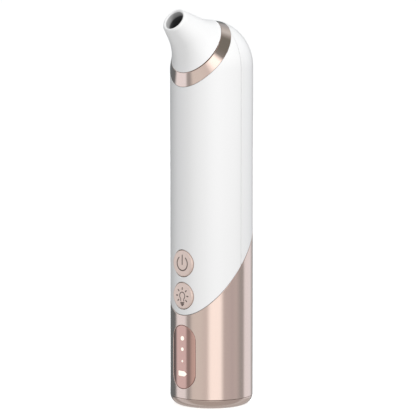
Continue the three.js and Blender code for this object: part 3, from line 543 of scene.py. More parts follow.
def surface_material(
    name, colour, roughness, metallic=0.0, grain=400.0, variation=0.03, gloss=0.15, stretch=(1, 1, 1),
    bump_scale=2500.0, bump_strength=0.05, bump_distance=0.00002, **sockets,
):
    """A moulded, coated or drawn surface: slight changes of tone and gloss over a fine texture."""
    material, tree, principled = shader(name)
    vector = texture_place(tree, stretch)
    cloud = noise(tree, vector, grain)
    tone = ramp(tree, cloud, [(0.3, scaled(colour, 1 - variation)), (0.7, scaled(colour, 1 + variation))])
    tree.links.new(tone, principled.inputs["Base Color"])
    dull = spread(tree, noise(tree, vector, grain * 2), roughness * (1 - gloss), roughness * (1 + gloss))
    tree.links.new(dull, principled.inputs["Roughness"])
    texture = noise(tree, vector, bump_scale, detail=2.0)
    tree.links.new(bump(tree, texture, bump_strength, bump_distance), principled.inputs["Normal"])
    set_inputs(principled, Metallic=metallic, **sockets)
    return material


WHITE = (0.88, 0.88, 0.88)
ROSE_GOLD = (0.82, 0.655, 0.58)
SMOKED_PINK = (0.67, 0.42, 0.36)
# Painted shade: the bore is greyer than the white nozzle, and darker still deep in the hole.
BORE_MOUTH = (0.62, 0.62, 0.62)
BORE_DEEP_SHADE = (0.045, 0.045, 0.047)
BUTTON_PINK = (0.83, 0.665, 0.59)
INK = (0.13, 0.09, 0.075)

FINE_GLOSS = {"variation": 0.006, "grain": 6000, "gloss": 0.03, "bump_strength": 0.0}
white_shell = surface_material("white_shell", WHITE, 0.28, **FINE_GLOSS)
white_nozzle = surface_material("white_nozzle", WHITE, 0.33, **FINE_GLOSS)
rose_gold = surface_material(
    "rose_gold", ROSE_GOLD, 0.17, metallic=1.0, variation=0.015, grain=3000, bump_strength=0.01,
)
rose_gold_polished = surface_material(
    "rose_gold_polished", ROSE_GOLD, 0.10, metallic=1.0, variation=0.01, grain=3000, bump_strength=0.005,
)
button_pink = surface_material("button_pink", BUTTON_PINK, 0.34, metallic=0.35, variation=0.02, grain=700)
smoked_window = surface_material(
    "smoked_window", SMOKED_PINK, 0.08, metallic=1.0, variation=0.02, grain=3000, bump_strength=0.004,
)
icon_ink = surface_material("icon_ink", INK, 0.55, variation=0.10, grain=3000)


def lit_legend():
    """Frosted print with a lamp behind it, its glow changing a little at random."""
    material, tree, principled = shader("lit_legend")
    vector = texture_place(tree)
    glow = ramp(tree, noise(tree, vector, 600), [(0.2, (0.95, 0.86, 0.74)), (0.8, (0.96, 0.89, 0.79))])
    tree.links.new(glow, principled.inputs["Base Color"])
    tree.links.new(glow, principled.inputs["Emission Color"])
    set_inputs(principled, Emission_Strength=0.5, Roughness=0.5)
    return material


legend_light = lit_legend()


def bore_material():
    """The nozzle's hole, with painted shade: pale grey at its mouth and darkening further in."""
    material, tree, principled = shader("nozzle_bore")
    place = tree.nodes.new("ShaderNodeTexCoord").outputs["Object"]
    along = operate(tree, "ShaderNodeVectorMath", "DOT_PRODUCT", place, HEAD_NORMAL)["Value"]
    start = HEAD_ORIGIN.dot(HEAD_NORMAL)
    share = mapped(tree, along, ((start + HOLE_BOTTOM) * MM, (start + NOZZLE_LENGTH) * MM))
    # Painted shade: dark deep in the hole, lighter towards its mouth.
    stops = [
        (0.0, BORE_DEEP_SHADE), (0.60, scaled(BORE_DEEP_SHADE, 2)), (0.69, scaled(BORE_MOUTH, 0.7)), (1.0, BORE_MOUTH),
    ]
    tree.links.new(ramp(tree, share, stops), principled.inputs["Base Color"])
    grain = noise(tree, texture_place(tree), 2500)
    tree.links.new(spread(tree, grain, 0.4, 0.5), principled.inputs["Roughness"])
    return material


nozzle_bore = bore_material()


# One finish for each material slot of the pieces inside: colour, roughness and what else differs.
INNER_FINISHES = {
    "grey_plastic": ((0.46, 0.46, 0.47), 0.5, {"grain": 900, "bump_strength": 0.15}),
    "black_plastic": ((0.02, 0.02, 0.022), 0.45, {"grain": 900}),
    "black_rubber": ((0.015, 0.015, 0.016), 0.75, {"grain": 1500, "bump_strength": 0.3}),
    "filter_foam": (
        (0.20, 0.20, 0.21), 0.95,
        {"grain": 2200, "variation": 0.5, "bump_strength": 1.0, "bump_distance": 0.0003},
    ),
    "clear_silicone": ((0.75, 0.76, 0.76), 0.35, {"Transmission_Weight": 0.6}),
    "circuit_board": ((0.02, 0.14, 0.06), 0.35, {"variation": 0.2}),
    "lamp_frame": ((0.82, 0.82, 0.80), 0.4, {}),
    "lamp_lens": ((0.95, 0.9, 0.72), 0.3, {"Emission_Strength": 0.2}),
    "plated_steel": (
        (0.58, 0.57, 0.55), 0.25, {"metallic": 1.0, "stretch": (1, 1, 12), "bump_strength": 0.1},
    ),
    "ferrite": ((0.06, 0.06, 0.065), 0.7, {"grain": 3000, "variation": 0.25}),
    "copper_winding": (
        (0.55, 0.22, 0.09), 0.35,
        {"metallic": 0.9, "stretch": (1, 1, 20), "grain": 1500, "variation": 0.25, "bump_strength": 0.5},
    ),
    "bronze": ((0.45, 0.28, 0.11), 0.4, {"metallic": 1.0, "grain": 1800}),
    "cell_wrap": ((0.03, 0.16, 0.42), 0.35, {"grain": 200, "bump_strength": 0.2}),
    "red_wire": ((0.45, 0.02, 0.02), 0.4, {}),
    "black_wire": ((0.015, 0.015, 0.015), 0.4, {}),
}
inner = {
    name: surface_material(name, colour, roughness, **others)
    for name, (colour, roughness, others) in INNER_FINISHES.items()
}


def dress(piece, material, body, slot, *nodes):
    """Gives a piece its material and the CAD body that it rides on, and hides the CAD nodes that it stands for."""
    piece.data.materials.clear()
    piece.data.materials.append(material)
    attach(piece, body)
    if nodes:
        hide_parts(*nodes)


def dress_inner(piece, slot, *nodes):
    """Dresses a piece of the housing in the finish that its slot has."""
    dress(piece, inner[slot], "housing", slot, *nodes)


def paint_where(piece, material, place, is_there):
    """Gives a second material to the faces whose middle passes a test, in the frame of a place."""
    piece.data.materials.append(material)
    to_place = place.inverted()
    for face in piece.data.polygons:
        if is_there(to_place @ (face.center / MM)):
            face.material_index = 1


# ---- Body

def boundary(near, far, is_past):
    """The value between two at which a test turns true."""
    for _ in range(40):
        middle = (near + far) / 2
        if is_past(middle):
            far = middle
        else:
            near = middle
    return near


def sleeve_edge(u):
    """Height of the sleeve's leaning edge."""
    return SLEEVE_EDGE_MID + SLEEVE_SLOPE * BODY_RADIUS * sin(u / BODY_RADIUS)


def above_head_plane(point):
    return (point - HEAD_ORIGIN).dot(HEAD_NORMAL)


def head_cut(u):
    """How far up the body's side the head plane is met."""
    top = DOME_START + DOME_GIRTH * pi / 2
    return boundary(DOME_START / 2, top, lambda v: above_head_plane(on_body(u, v)) > 0)


def seam_u(v, side, half):
    """Place of a parting line: side is 1 at +X and -1 at -X, half is -1 in front and 1 behind."""
    reach = hypot(*on_body(0, v).xy)
    lean = asin(SEAM / 2 / reach) * half
    angle = lean if side > 0 else half * pi - lean
    return angle * BODY_RADIUS


def shell_outline(half):
    """Outline of one shell, counter-clockwise, and the edge radius at each of its points.

    Half is -1 for the front and 1 for the rear.
    """
    left_side, right_side = (-1, 1) if half < 0 else (1, -1)
    steps = 90
    left, right = seam_u(DOME_START, left_side, half), seam_u(DOME_START, right_side, half)
    bottom = [(u, sleeve_edge(u) + SLEEVE_SEAM) for u in spaced(left, right, steps)]
    side_low, side_high = bottom[-1][1], head_cut(right)
    rises = spaced(side_low, side_high, steps)[1:-1]
    right_edge = [(seam_u(v, right_side, half), v) for v in rises]
    left_edge = [(seam_u(v, left_side, half), v) for v in reversed(rises)]
    top_left, top_right = seam_u(side_high, left_side, half), seam_u(side_high, right_side, half)
    top = [(u, head_cut(u)) for u in spaced(top_right, top_left, steps)]
    radii = [LIP_EDGE] * len(bottom) + [SEAM_EDGE] * len(right_edge)
    radii += [RIM_EDGE] * len(top) + [SEAM_EDGE] * len(left_edge)
    return bottom + right_edge + top + left_edge, radii


def on_body_loop(outline):
    """An outline in X and Z on the body's front, as a loop on its surface."""
    return [(-BODY_RADIUS * acos(x / BODY_RADIUS), z) for x, z in outline]


def shell(name, half, openings, node_name):
    full_outline, radii = shell_outline(half)
    outline = inset(full_outline, radii)
    holes = [inset(hole(on_body_loop(opening)), LIP_EDGE) for opening in openings]
    parts = [
        patch([outline, *holes], on_body),
        rounded_edge(outline, on_body, radii, WALL),
    ]
    parts.extend(rounded_edge(loop, on_body, LIP_EDGE, WALL * 1.5, inward=INTO_BODY) for loop in holes)
    dress(smooth_piece(name, parts), white_shell, "housing", "white_shell", node_name)


button_holes = [circle((0, z), BUTTON_RADIUS + GAP, 96) for z in BUTTONS.values()]
shell("front_cover", -1, button_holes, "front_shell")
shell("rear_cover", 1, [], "rear_shell")


# ---- Sleeve, window and base

def sleeve():
    edge = 0.2
    across = spaced(-1.5 * pi * BODY_RADIUS, 0.5 * pi * BODY_RADIUS, 180)
    foot = [(u, CAP_SEAM + GAP / 2 + edge) for u in across]
    lip = [(u, sleeve_edge(u) - edge * 1.3) for u in reversed(across)]
    side = [(across[-1], v) for v in spaced(foot[-1][1], lip[0][1], 40)[1:-1]]
    other_side = [(across[0], v) for _, v in reversed(side)]
    opening = stadium((0, WINDOW_Z), WINDOW_HALF_WIDTH + WINDOW_GAP, WINDOW_HALF_HEIGHT + WINDOW_GAP)
    window_hole = inset(hole(on_body_loop(opening)), edge)
    parts = [
        patch([foot + side + lip + other_side, window_hole], on_body),
        rounded_edge(foot[:-1], on_body, edge, WALL),
        rounded_edge(lip[:-1], on_body, edge, WALL),
        rounded_edge(window_hole, on_body, edge, WALL * 1.3, inward=INTO_BODY),
    ]
    dress(smooth_piece("metal_sleeve", parts), rose_gold, "housing", "rose_gold", "base_sleeve")


def window():
    edge = 0.3
    surface = on_front(BODY_RADIUS - WINDOW_RECESS)
    outline = inset(stadium((0, WINDOW_Z), WINDOW_HALF_WIDTH, WINDOW_HALF_HEIGHT), edge)
    parts = [patch([outline], surface), rounded_edge(outline, surface, edge, WALL - GAP, inward=INTO_BODY)]
    piece = smooth_piece("display_window", parts)
    dress(piece, smoked_window, "housing", "smoked_window", "indicator_window")


def printed(name, outline, surface, spacing):
    """A thin print laid on a surface."""
    parts = [patch([outline], surface, spacing), rounded_edge(outline, surface, PRINT_EDGE, PRINT_DEPTH)]
    return smooth_piece(name, parts)


def legend(name, outline):
    """A lit print, just in front of the window's face."""
    piece = printed(name, outline, on_front(BODY_RADIUS - LEGEND_RECESS), 0.4)
    dress(piece, legend_light, "housing", "lamp_lens")


def legends():
    for size, radius in LEGEND_RADII.items():
        legend(f"legend_{size}", circle((0, middle_mm(f"indicator_lamp_{size}").z), radius, 40))
    z = middle_mm("indicator_lamp_battery").z
    end, half_height, shoulder = 2.75, 1.2, 1.3
    nose, nose_half = end - 0.4, 0.5
    outline = [
        (-end, z + half_height), (-end, z - half_height), (shoulder, z - half_height),
        (nose, z - nose_half), (end, z), (nose, z + nose_half), (shoulder, z + half_height),
    ]
    legend("legend_battery", dense(outline, 0.3))


def base_cap():
    edge = 0.2
    rim_bend = acos(1 - CAP_SEAM / BASE_FILLET)
    rim = circle((0, 0), FOOT_RADIUS + BASE_FILLET * rim_bend - edge, 160)
    port_y = middle_mm("usb_socket").y
    port = inset(hole(stadium((port_y, 0), PORT_HALF_DEPTH, PORT_HALF_WIDTH, 16)), edge)
    vents = [inset(hole(circle((VENT_Y, x), VENT_RADIUS, 24)), edge / 2) for x in VENTS_X]
    recesses = []
    for number in (1, 2):
        place = middle_mm(f"base_screw_{number}")
        recesses.append(inset(hole(circle((place.y, place.x), RECESS_RADIUS, 40)), edge / 2))
    parts = [
        patch([rim, port, *vents, *recesses], on_foot),
        rounded_edge(rim, on_foot, edge, WALL),
        rounded_edge(port, on_foot, edge, WALL),
    ]
    parts.extend(rounded_edge(loop, on_foot, edge / 2, WALL) for loop in vents)
    for loop in recesses:
        parts.append(rounded_edge(loop, on_foot, edge / 2, RECESS_DEPTH, closed_floor=True))
    dress(smooth_piece("base_cap", parts), rose_gold, "housing", "rose_gold", "bottom_cap")


sleeve()
window()
legends()
base_cap()


# ---- Buttons

def button(which, body):
    z = BUTTONS[which]
    low, high = box_mm(f"{which}_button")
    crown = [(BUTTON_RADIUS * share, BUTTON_CROWN * share**2) for share in (0, 0.2, 0.4, 0.6, 0.72, 0.8)]
    depth = high.y - low.y
    outline = softened(
        [
            crown[-1], (BUTTON_RADIUS, BUTTON_CROWN), (BUTTON_RADIUS, BUTTON_RIM_DEPTH),
            (BUTTON_STEM_RADIUS, BUTTON_RIM_DEPTH), (BUTTON_STEM_RADIUS, depth),
        ],
        [1.0, 0.1, 0.1],
        8,
    )
    profile = crown + outline + [(0, depth)]
    place = Matrix.Translation((0, low.y, z)) @ Matrix.Rotation(radians(-90), 4, "X")
    piece = stacked_piece(f"{which}_key", turned_rows(profile, 96), place)
    dress(piece, button_pink, body, "button_pink", f"{which}_button")


def icon(name, which, outline):
    """A thin print on a button's face."""
    piece = printed(name, outline, on_button(BUTTONS[which]), 0.35)
    piece.data.transform(Matrix.Translation((0, -PRINT_EDGE * MM, 0)))
    dress(piece, icon_ink, f"{which}_key", "black_plastic")


def power_icon():
    icon("power_icon_arc", "power", stroke(arc((0, 0), 3.45, 128, 412, 60), ICON_LINE))
    icon("power_icon_bar", "power", stroke([(0, 4.0), (0, 1.7), (0, -0.5)], ICON_LINE))


def light_icon():
    glass = 1.75
    neck_width, neck = 1.0, -2.5
    bulb = arc((0, 0), glass, -55, 235, 40)
    bulb = [(neck_width, neck), *bulb, (-neck_width, neck)]
    icon("light_icon_bulb", "light", stroke(bulb, BULB_LINE))
    for number, (z, half) in enumerate([(-3.35, 1.1), (-4.05, 0.9), (-4.7, 0.35)], 1):
        icon(f"light_icon_base_{number}", "light", stroke([(-half, z), (0, z), (half, z)], ICON_LINE))
    for number, angle in enumerate((90, 45, 135, 0, 180, -40, -140), 1):
        direction = Vector((cos(radians(angle)), sin(radians(angle))))
        ray = [tuple(direction * distance) for distance in (3.1, 3.5, 3.9)]
        icon(f"light_icon_ray_{number}", "light", stroke(ray, ICON_LINE))


button("power", "power_key")
button("light", "light_key")
power_icon()
light_icon()


# ---- Head

def body_edge(angle):
    """Where the head plane meets the body's surface, at an angle about the head's axis."""
    ray = Vector((cos(angle), sin(angle), 0))

    def is_outside(reach):
        point = HEAD @ (ray * reach)
        rise = max(0.0, point.z - DOME_START) / DOME_HEIGHT
        return rise >= 1 or hypot(point.x, point.y) >= BODY_RADIUS * sqrt(1 - rise * rise)

    return ray * boundary(0.0, 2 * BODY_RADIUS, is_outside)


def nozzle_edge(angle):
    return Vector((NOZZLE_OVAL[0] * cos(angle), NOZZLE_OVAL[1] * sin(angle) + NOZZLE_OVAL_SHIFT, 0))


def trim_ring():
    """The polished band: its section is worked out afresh at every angle."""
    sections = []
    for step in range(TURN_STEPS):
        angle = 2 * pi * step / TURN_STEPS
        foot, top = body_edge(angle), nozzle_edge(angle)
        direction = Vector((foot.x, foot.y)).normalized()
        foot_radius, top_radius = foot.length, top.length
        middle_radius = (foot_radius + top_radius) / 2
        profile = softened(
            [
                (middle_radius - RING_WALL, RING_FOOT),
                (foot_radius, RING_FOOT),
                (top_radius, RING_HEIGHT),
                (top_radius - RING_WALL, RING_HEIGHT),
                (middle_radius - RING_WALL, RING_FOOT + 1),
            ],
            [0.08, 0.18, 0.05],
        )
        sections.append([(direction.x * r, direction.y * r, h) for r, h in profile])
    rows = [list(row) for row in zip(*sections)]
    piece = stacked_piece("polished_ring", rows, HEAD, joined_ends=True, crease=50)
    dress(piece, rose_gold_polished, "housing", "rose_gold_polished", "trim_ring")


def nozzle_radius(height):
    left = (NOZZLE_LENGTH - height) / (NOZZLE_LENGTH - NOZZLE_FOOT)
    flare = NOZZLE_BASE_RADIUS - NOZZLE_TIP_RADIUS - NOZZLE_TAPER
    return NOZZLE_TIP_RADIUS + NOZZLE_TAPER * left + flare * left**4


def oval(point):
    """Draws the nozzle's round base out into the oval that the ring has."""
    x, y, z = point
    share = max(0.0, (hypot(x, y) - SOCKET_OUTER) / (NOZZLE_BASE_RADIUS - SOCKET_OUTER))
    stretch_x = 1 + (NOZZLE_OVAL[0] / NOZZLE_BASE_RADIUS - 1) * share
    stretch_y = 1 + (NOZZLE_OVAL[1] / NOZZLE_BASE_RADIUS - 1) * share
    return x * stretch_x, y * stretch_y + NOZZLE_OVAL_SHIFT * share, z


def nozzle():
    lip = (NOZZLE_TIP_RADIUS - NOZZLE_HOLE_RADIUS) / 2
    lip_height = NOZZLE_LENGTH - lip
    start = NOZZLE_FOOT + 0.35
    outside = [(nozzle_radius(height), height) for height in spaced(start, lip_height, 40)]
    inner_base = NOZZLE_BASE_RADIUS - NOZZLE_WALL
    profile = [
        (SOCKET_RADIUS, NOZZLE_FOOT), (SOCKET_OUTER, NOZZLE_FOOT), (SOCKET_OUTER, NOZZLE_RECESS),
        (SOCKET_OUTER + 0.4, NOZZLE_RECESS), (inner_base, NOZZLE_FOOT),
        (NOZZLE_BASE_RADIUS - 0.3, NOZZLE_FOOT), (NOZZLE_BASE_RADIUS - 0.08, NOZZLE_FOOT + 0.1),
        *outside,
        *arc((NOZZLE_HOLE_RADIUS + lip, lip_height), lip, 0, 180, 12)[1:],
        (NOZZLE_HOLE_RADIUS, lip_height - 0.1), (NOZZLE_HOLE_RADIUS, HOLE_BOTTOM + 0.1),
        (NOZZLE_HOLE_RADIUS, HOLE_BOTTOM), (SOCKET_RADIUS, SOCKET_TOP), (SOCKET_RADIUS, NOZZLE_FOOT),
    ]
    rows = [[oval(point) for point in row] for row in turned_rows(profile)]
    piece = stacked_piece("nozzle_cone", rows, HEAD)
    dress(piece, white_nozzle, "nozzle", "white_nozzle", "suction_nozzle")
    # The hole's faces take the bore's painted shade.
    paint_where(piece, nozzle_bore, HEAD, lambda spot: hypot(spot.x, spot.y) < NOZZLE_HOLE_RADIUS + 0.05)


trim_ring()
nozzle()


# ---- Pieces under the nozzle, in the head's own frame

def box_in_head(node_name):
    """Lowest and highest point of a node along the head's axis."""
    to_head = HEAD.inverted()
    cad_node = frame["nodes"][node_name]
    heights = [(to_head @ (cad_node.matrix_world @ vertex.co / MM)).z for vertex in cad_node.data.vertices]
    return min(heights), max(heights)


def fitted_flange(point):
    """Widens the flange so that it fills the body at every angle."""
    x, y, z = point
    spread_out = hypot(x, y)
    share = (spread_out - SOCKET_OUTER) / (FLANGE_RADIUS - SOCKET_OUTER)
    if share <= 0:
        return point
    reach = body_edge(atan2(y, x)).length - FLANGE_MARGIN
    factor = (SOCKET_OUTER + share * (reach - SOCKET_OUTER)) / spread_out
    return x * factor, y * factor, z


def seat():
    groove = SPIGOT_RADIUS - 1
    profile = softened(
        [
            (0, SHELF_TOP), (SPIGOT_BORE, SHELF_TOP), (SPIGOT_BORE, SPIGOT_TOP), (SPIGOT_RADIUS, SPIGOT_TOP),
            (SPIGOT_RADIUS, SEAL_GROOVE[1]), (groove, SEAL_GROOVE[1]),
            (groove, SEAL_GROOVE[0]), (SPIGOT_RADIUS, SEAL_GROOVE[0]),
            (SPIGOT_RADIUS, FLANGE[1]), (FLANGE_RADIUS, FLANGE[1]), (FLANGE_RADIUS, FLANGE[0]),
            (NIPPLE_RADIUS, FLANGE[0]), (NIPPLE_RADIUS, NIPPLE_END), (NIPPLE_BORE, NIPPLE_END),
            (NIPPLE_BORE, FLANGE[0]), (0, FLANGE[0]),
        ],
        [0.3, 0.4, 0.6, 0.15, 0.1, 0.1, 0.15, 0.6, 0.3, 0.3, 0.2, 0.2, 0.2, 0.1],
    )
    rows = [[fitted_flange(point) for point in row] for row in turned_rows(profile)]
    dress_inner(stacked_piece("seat", rows, HEAD), "grey_plastic", "nozzle_seat")


def seal():
    rows = turned_rows(arc((SPIGOT_RADIUS - 0.35, SEAL_HEIGHT), 0.6, 0, 360, 24)[:-1])
    piece = stacked_piece("seal", rows, HEAD, joined_ends=True)
    dress_inner(piece, "black_rubber", "seal_ring")


def foam():
    """Open-cell foam: the whole surface is slightly uneven."""
    seed_set(FOAM_SEED)
    radius = SPIGOT_BORE - GAP
    low, high = SHELF_TOP + GAP, FOAM_TOP
    steps = 16
    top = [(radius * step / steps, high) for step in range(steps)]
    side = [(radius, height) for height in spaced(high, low, 8)]
    profile = top + side + [(0, low)]
    rows = []
    for row in turned_rows(profile):
        rows.append([Vector(point) + noise_vector(Vector(point) * 1.6) * 0.14 for point in row])
    dress_inner(stacked_piece("foam", rows, HEAD), "filter_foam", "filter_foam")


def lamp_board():
    low, high = box_in_head("light_ring_board")
    ring = SPIGOT_RADIUS + 1
    outer = LIGHT_BOARD_RADIUS
    middle = (low + high) / 2
    profile = softened(
        [(ring, middle), (ring, high), (outer, high), (outer, low), (ring, low), (ring, middle)],
        [0.08] * 4,
    )
    piece = stacked_piece("lamp_board", turned_rows(profile), HEAD)
    dress_inner(piece, "circuit_board", "light_ring_board")


def squared_loop(half, height, steps=64):
    """A square with rounded corners."""
    power = 10
    loop = []
    for step in range(steps):
        c, s = cos(2 * pi * step / steps), sin(2 * pi * step / steps)
        reach = half / (abs(c) ** power + abs(s) ** power) ** (1 / power)
        loop.append((reach * c, reach * s, height))
    return loop


def lamps():
    """Small lamps with a white frame around a yellow lens."""
    half, lens = HEAD_LAMP_WIDTH / 2, LENS_RADIUS
    for number in (1, 2, 3):
        node_name = f"head_lamp_{number}"
        low, high = box_in_head(node_name)
        middle = HEAD.inverted() @ middle_mm(node_name)
        turn = atan2(middle.y, middle.x)
        frame_rows = [
            squared_loop(TINY, low), squared_loop(half, low), squared_loop(half, high - 0.12),
            squared_loop(half - 0.12, high),
        ]
        lens_rows = turned_rows(
            [(lens, high), (lens - 0.08, high - 0.14), (lens * 0.6, high - 0.06), (0, high - 0.02)], 64,
        )
        place = HEAD @ Matrix.Translation((middle.x, middle.y, 0)) @ Matrix.Rotation(turn, 4, "Z")
        piece = stacked_piece(f"lamp_{number}", frame_rows + lens_rows, place)
        dress(piece, inner["lamp_frame"], "housing", "lamp_lens", node_name)
        half_way = (low + high) / 2
        paint_where(piece, inner["lamp_lens"], place, lambda p: hypot(p.x, p.y) < lens and p.z > half_way)


seat()
seal()
foam()
lamp_board()
lamps()


# ---- Charging socket and screws, seen from below

def charging_socket():
    low, high = box_mm("usb_socket")
    centre = ((low.y + high.y) / 2, 0)
    lip, sheet = SOCKET_LIP, SOCKET_SHEET
    deep, wide = (high.y - low.y) / 2, high.x
    inside_deep, inside_wide = deep - sheet, wide - sheet

    def loop(half_depth, half_width, z):
        return [(v, u, z) for u, v in stadium(centre, half_depth, half_width, 20)]

    rows = [
        loop(TINY, inside_wide - inside_deep, high.z - sheet),
        loop(inside_deep, inside_wide, high.z - sheet),
        loop(inside_deep, inside_wide, low.z + lip),
        loop(deep - sheet / 2, wide - sheet / 2, low.z),
        loop(deep, wide, low.z + lip),
        loop(deep, wide, high.z),
        loop(TINY, inside_wide - inside_deep, high.z),
    ]
    dress_inner(stacked_piece("charging_socket", rows), "plated_steel", "usb_socket")
    tip, edge, middle_width = low.z + TONGUE_START, 0.1, 2.9
    tongue = [
        loop(TINY, middle_width, tip),
        loop(TONGUE_HALF_DEPTH - edge, TONGUE_HALF_WIDTH - edge, tip),
        loop(TONGUE_HALF_DEPTH, TONGUE_HALF_WIDTH, tip + 0.15),
        loop(TONGUE_HALF_DEPTH, TONGUE_HALF_WIDTH, high.z - sheet),
        loop(TINY, middle_width, high.z - sheet),
    ]
    dress_inner(stacked_piece("charging_tongue", tongue), "black_plastic")


def cross(reach, half_width):
    """Outline of a cross-shaped recess."""
    corners = []
    for c, s in ((1, 0), (0, 1), (-1, 0), (0, -1)):
        for x, y in ((half_width, -half_width), (reach, -half_width), (reach, half_width)):
            corners.append((x * c - y * s, x * s + y * c))
    return dense(corners, 0.2)


def on_screw(middle, head_radius, face_z):
    """The slightly crowned face of a screw's head, seen from below: u is Y and v is X."""
    rise = SCREW_CROWN / head_radius**2
    return lambda u, v: Vector((middle.x + v, middle.y + u, face_z + rise * (u * u + v * v)))


def base_screws():
    for number in (1, 2):
        node_name = f"base_screw_{number}"
        low, high = box_mm(node_name)
        middle = (low + high) / 2
        head_radius = (high.x - low.x) / 2
        surface = on_screw(middle, head_radius, low.z)
        rim = circle((0, 0), head_radius - 0.25, 48)
        recess = hole(cross(CROSS_REACH, CROSS_HALF_WIDTH))
        parts = [
            patch([rim, recess], surface, 0.3),
            rounded_edge(rim, surface, 0.25, 0.5),
            rounded_edge(recess, surface, 0.04, 0.4, closed_floor=True),
        ]
        dress_inner(smooth_piece(f"cap_screw_{number}", parts), "plated_steel", node_name)


charging_socket()
base_screws()


# ---- CAD nodes that stay, each in the finish of its slot

def dress_cad_nodes():
    finishes = inner | {
        "white_shell": white_shell, "white_nozzle": white_nozzle, "rose_gold": rose_gold,
        "rose_gold_polished": rose_gold_polished, "button_pink": button_pink, "smoked_window": smoked_window,
    }
    slots = {part["node"]: part["material_slot"] for part in frame["record"]["subparts"]}
    for name, cad_node in frame["nodes"].items():
        cad_node.data.materials.clear()
        cad_node.data.materials.append(finishes[slots[name]])


dress_cad_nodes()


# ---- Camera, floor and light

CAMERA_AZIMUTH = 45.0
CAMERA_ELEVATION = 6.8
CAMERA_DISTANCE = 1.611
CAMERA_LENS = 288.4
AIM_LEFT = 0.00173
AIM_HEIGHT = 0.0955
LIGHT_DISTANCE = 1.3
FLOOR_GLOW = 0.66


def direction(azimuth, elevation):
    """Unit vector from the object towards a compass angle, measured from the front towards +X."""
    a, e = radians(azimuth), radians(elevation)
    return Vector((sin(a) * cos(e), -cos(a) * cos(e), sin(e)))


def turn_back_to(thing, towards):
    """Turns a camera or a light so that it looks back along a direction."""
    thing.rotation_mode = "QUATERNION"
    thing.rotation_quaternion = (-towards).to_track_quat("-Z", "Y")


def add_camera():
    data = bpy.data.cameras.new("camera")
    data.lens = CAMERA_LENS
    data.sensor_width = 36
    camera = link("camera", data)
    back = direction(CAMERA_AZIMUTH, CAMERA_ELEVATION)
    right = direction(CAMERA_AZIMUTH + 90, 0)
    camera.location = Vector((0, 0, AIM_HEIGHT)) - right * AIM_LEFT + back * CAMERA_DISTANCE
    turn_back_to(camera, back)
    bpy.context.scene.camera = camera


def either(tree, share, first, second):
    """The first shader where the share is 0, the second where it is 1."""
    made = tree.nodes.new("ShaderNodeMixShader")
    for socket, output in zip(made.inputs, (share, first, second)):
        tree.links.new(output, socket)
    return made.outputs["Shader"]


def clear_from_below(material):
    """Lets a camera under the floor see the object's underside."""
    tree = material.node_tree
    side = tree.nodes.new("ShaderNodeNewGeometry").outputs["Backfacing"]
    solid = tree.nodes["Principled BSDF"].outputs["BSDF"]
    clear = tree.nodes.new("ShaderNodeBsdfTransparent").outputs["BSDF"]
    tree.links.new(either(tree, side, solid, clear), tree.nodes["Material Output"].inputs["Surface"])


def add_floor():
    half = 3.0
    mesh = bpy.data.meshes.new("floor")
    corners = [(-half, -half, 0), (half, -half, 0), (half, half, 0), (-half, half, 0)]
    mesh.from_pydata(corners, [], [(0, 1, 2, 3)])
    floor = link("floor", mesh)
    material = surface_material(
        "pale_floor", (0.9, 0.9, 0.9), 0.6, variation=0.005, grain=20,
        Specular_IOR_Level=0.1, Emission_Color=(1, 1, 1, 1), Emission_Strength=FLOOR_GLOW,
    )
    clear_from_below(material)
    mesh.materials.append(material)
    floor.visible_glossy = False
    floor.visible_diffuse = False
    floor.visible_shadow = False


# The studio that glossy surfaces reflect, by compass angle: where each stretch of tone is, and how
# bright it is in red, green and blue. Soft panels and dark screens stand all round, with a dimmer
# ceiling above them and a table below.
DARK_SCREEN = (0.16, 0.19, 0.205)
LIGHT_PANEL = (0.88, 0.92, 0.99)
SOFT_WALL = (0.71, 0.71, 0.70)
BRIGHT_BOX = (1.20, 1.20, 1.20)
GREY_WALL = (0.56, 0.54, 0.55)
SHADED_WALL = (0.37, 0.385, 0.395)
SIDES = [
    (-180, LIGHT_PANEL), (-160, SHADED_WALL), (-142, DARK_SCREEN), (-77, DARK_SCREEN), (-66, LIGHT_PANEL),
    (-34, LIGHT_PANEL), (-27, SHADED_WALL), (-20, SHADED_WALL), (-10, SOFT_WALL), (12, SOFT_WALL),
    (31, (0.66, 0.64, 0.64)), (42, BRIGHT_BOX), (70, BRIGHT_BOX), (80, GREY_WALL), (95, GREY_WALL),
    (103, (0.52, 0.50, 0.52)), (118, GREY_WALL), (134, SHADED_WALL), (144, SHADED_WALL), (151, LIGHT_PANEL),
    (180, LIGHT_PANEL),
]
CEILING = [
    (-180, (0.49, 0.53, 0.54)), (-160, (0.37, 0.41, 0.44)), (-120, (0.28, 0.34, 0.37)), (-60, SHADED_WALL),
    (40, GREY_WALL), (62, (0.21, 0.22, 0.22)), (75, (0.16, 0.17, 0.16)), (122, (0.16, 0.17, 0.16)),
    (142, (0.30, 0.32, 0.32)), (166, (0.52, 0.57, 0.59)), (180, (0.49, 0.53, 0.54)),
]
TABLE = [
    (-180, (0.52, 0.52, 0.52)), (-100, (0.50, 0.50, 0.50)), (-78, (0.32, 0.32, 0.32)),
    (-66, (0.66, 0.68, 0.71)), (-36, (0.58, 0.59, 0.61)), (-26, (0.42, 0.41, 0.40)),
    (60, (0.45, 0.43, 0.42)), (138, (0.42, 0.41, 0.41)), (150, (0.62, 0.64, 0.67)),
    (170, (0.54, 0.55, 0.56)), (180, (0.52, 0.52, 0.52)),
]
CEILING_EDGE = (0.43, 0.56)
TABLE_EDGE = (-0.36, -0.26)
GLOW_EDGE = (-0.10, 0.34)
GLOW = 1.28
WASH_TOWARDS = direction(34, -12)
WASH_DIM, WASH_BRIGHT = (0.02,) * 3, (0.91,) * 3
RGBA_A, RGBA_B, RGBA_RESULT = 6, 7, 2  # the colour sockets of a Mix node


def world_direction(tree):
    return tree.nodes.new("ShaderNodeTexCoord").outputs["Generated"]


def world_parts(tree):
    """X, Y and Z of a world direction."""
    parts = tree.nodes.new("ShaderNodeSeparateXYZ")
    tree.links.new(world_direction(tree), parts.inputs["Vector"])
    return parts.outputs


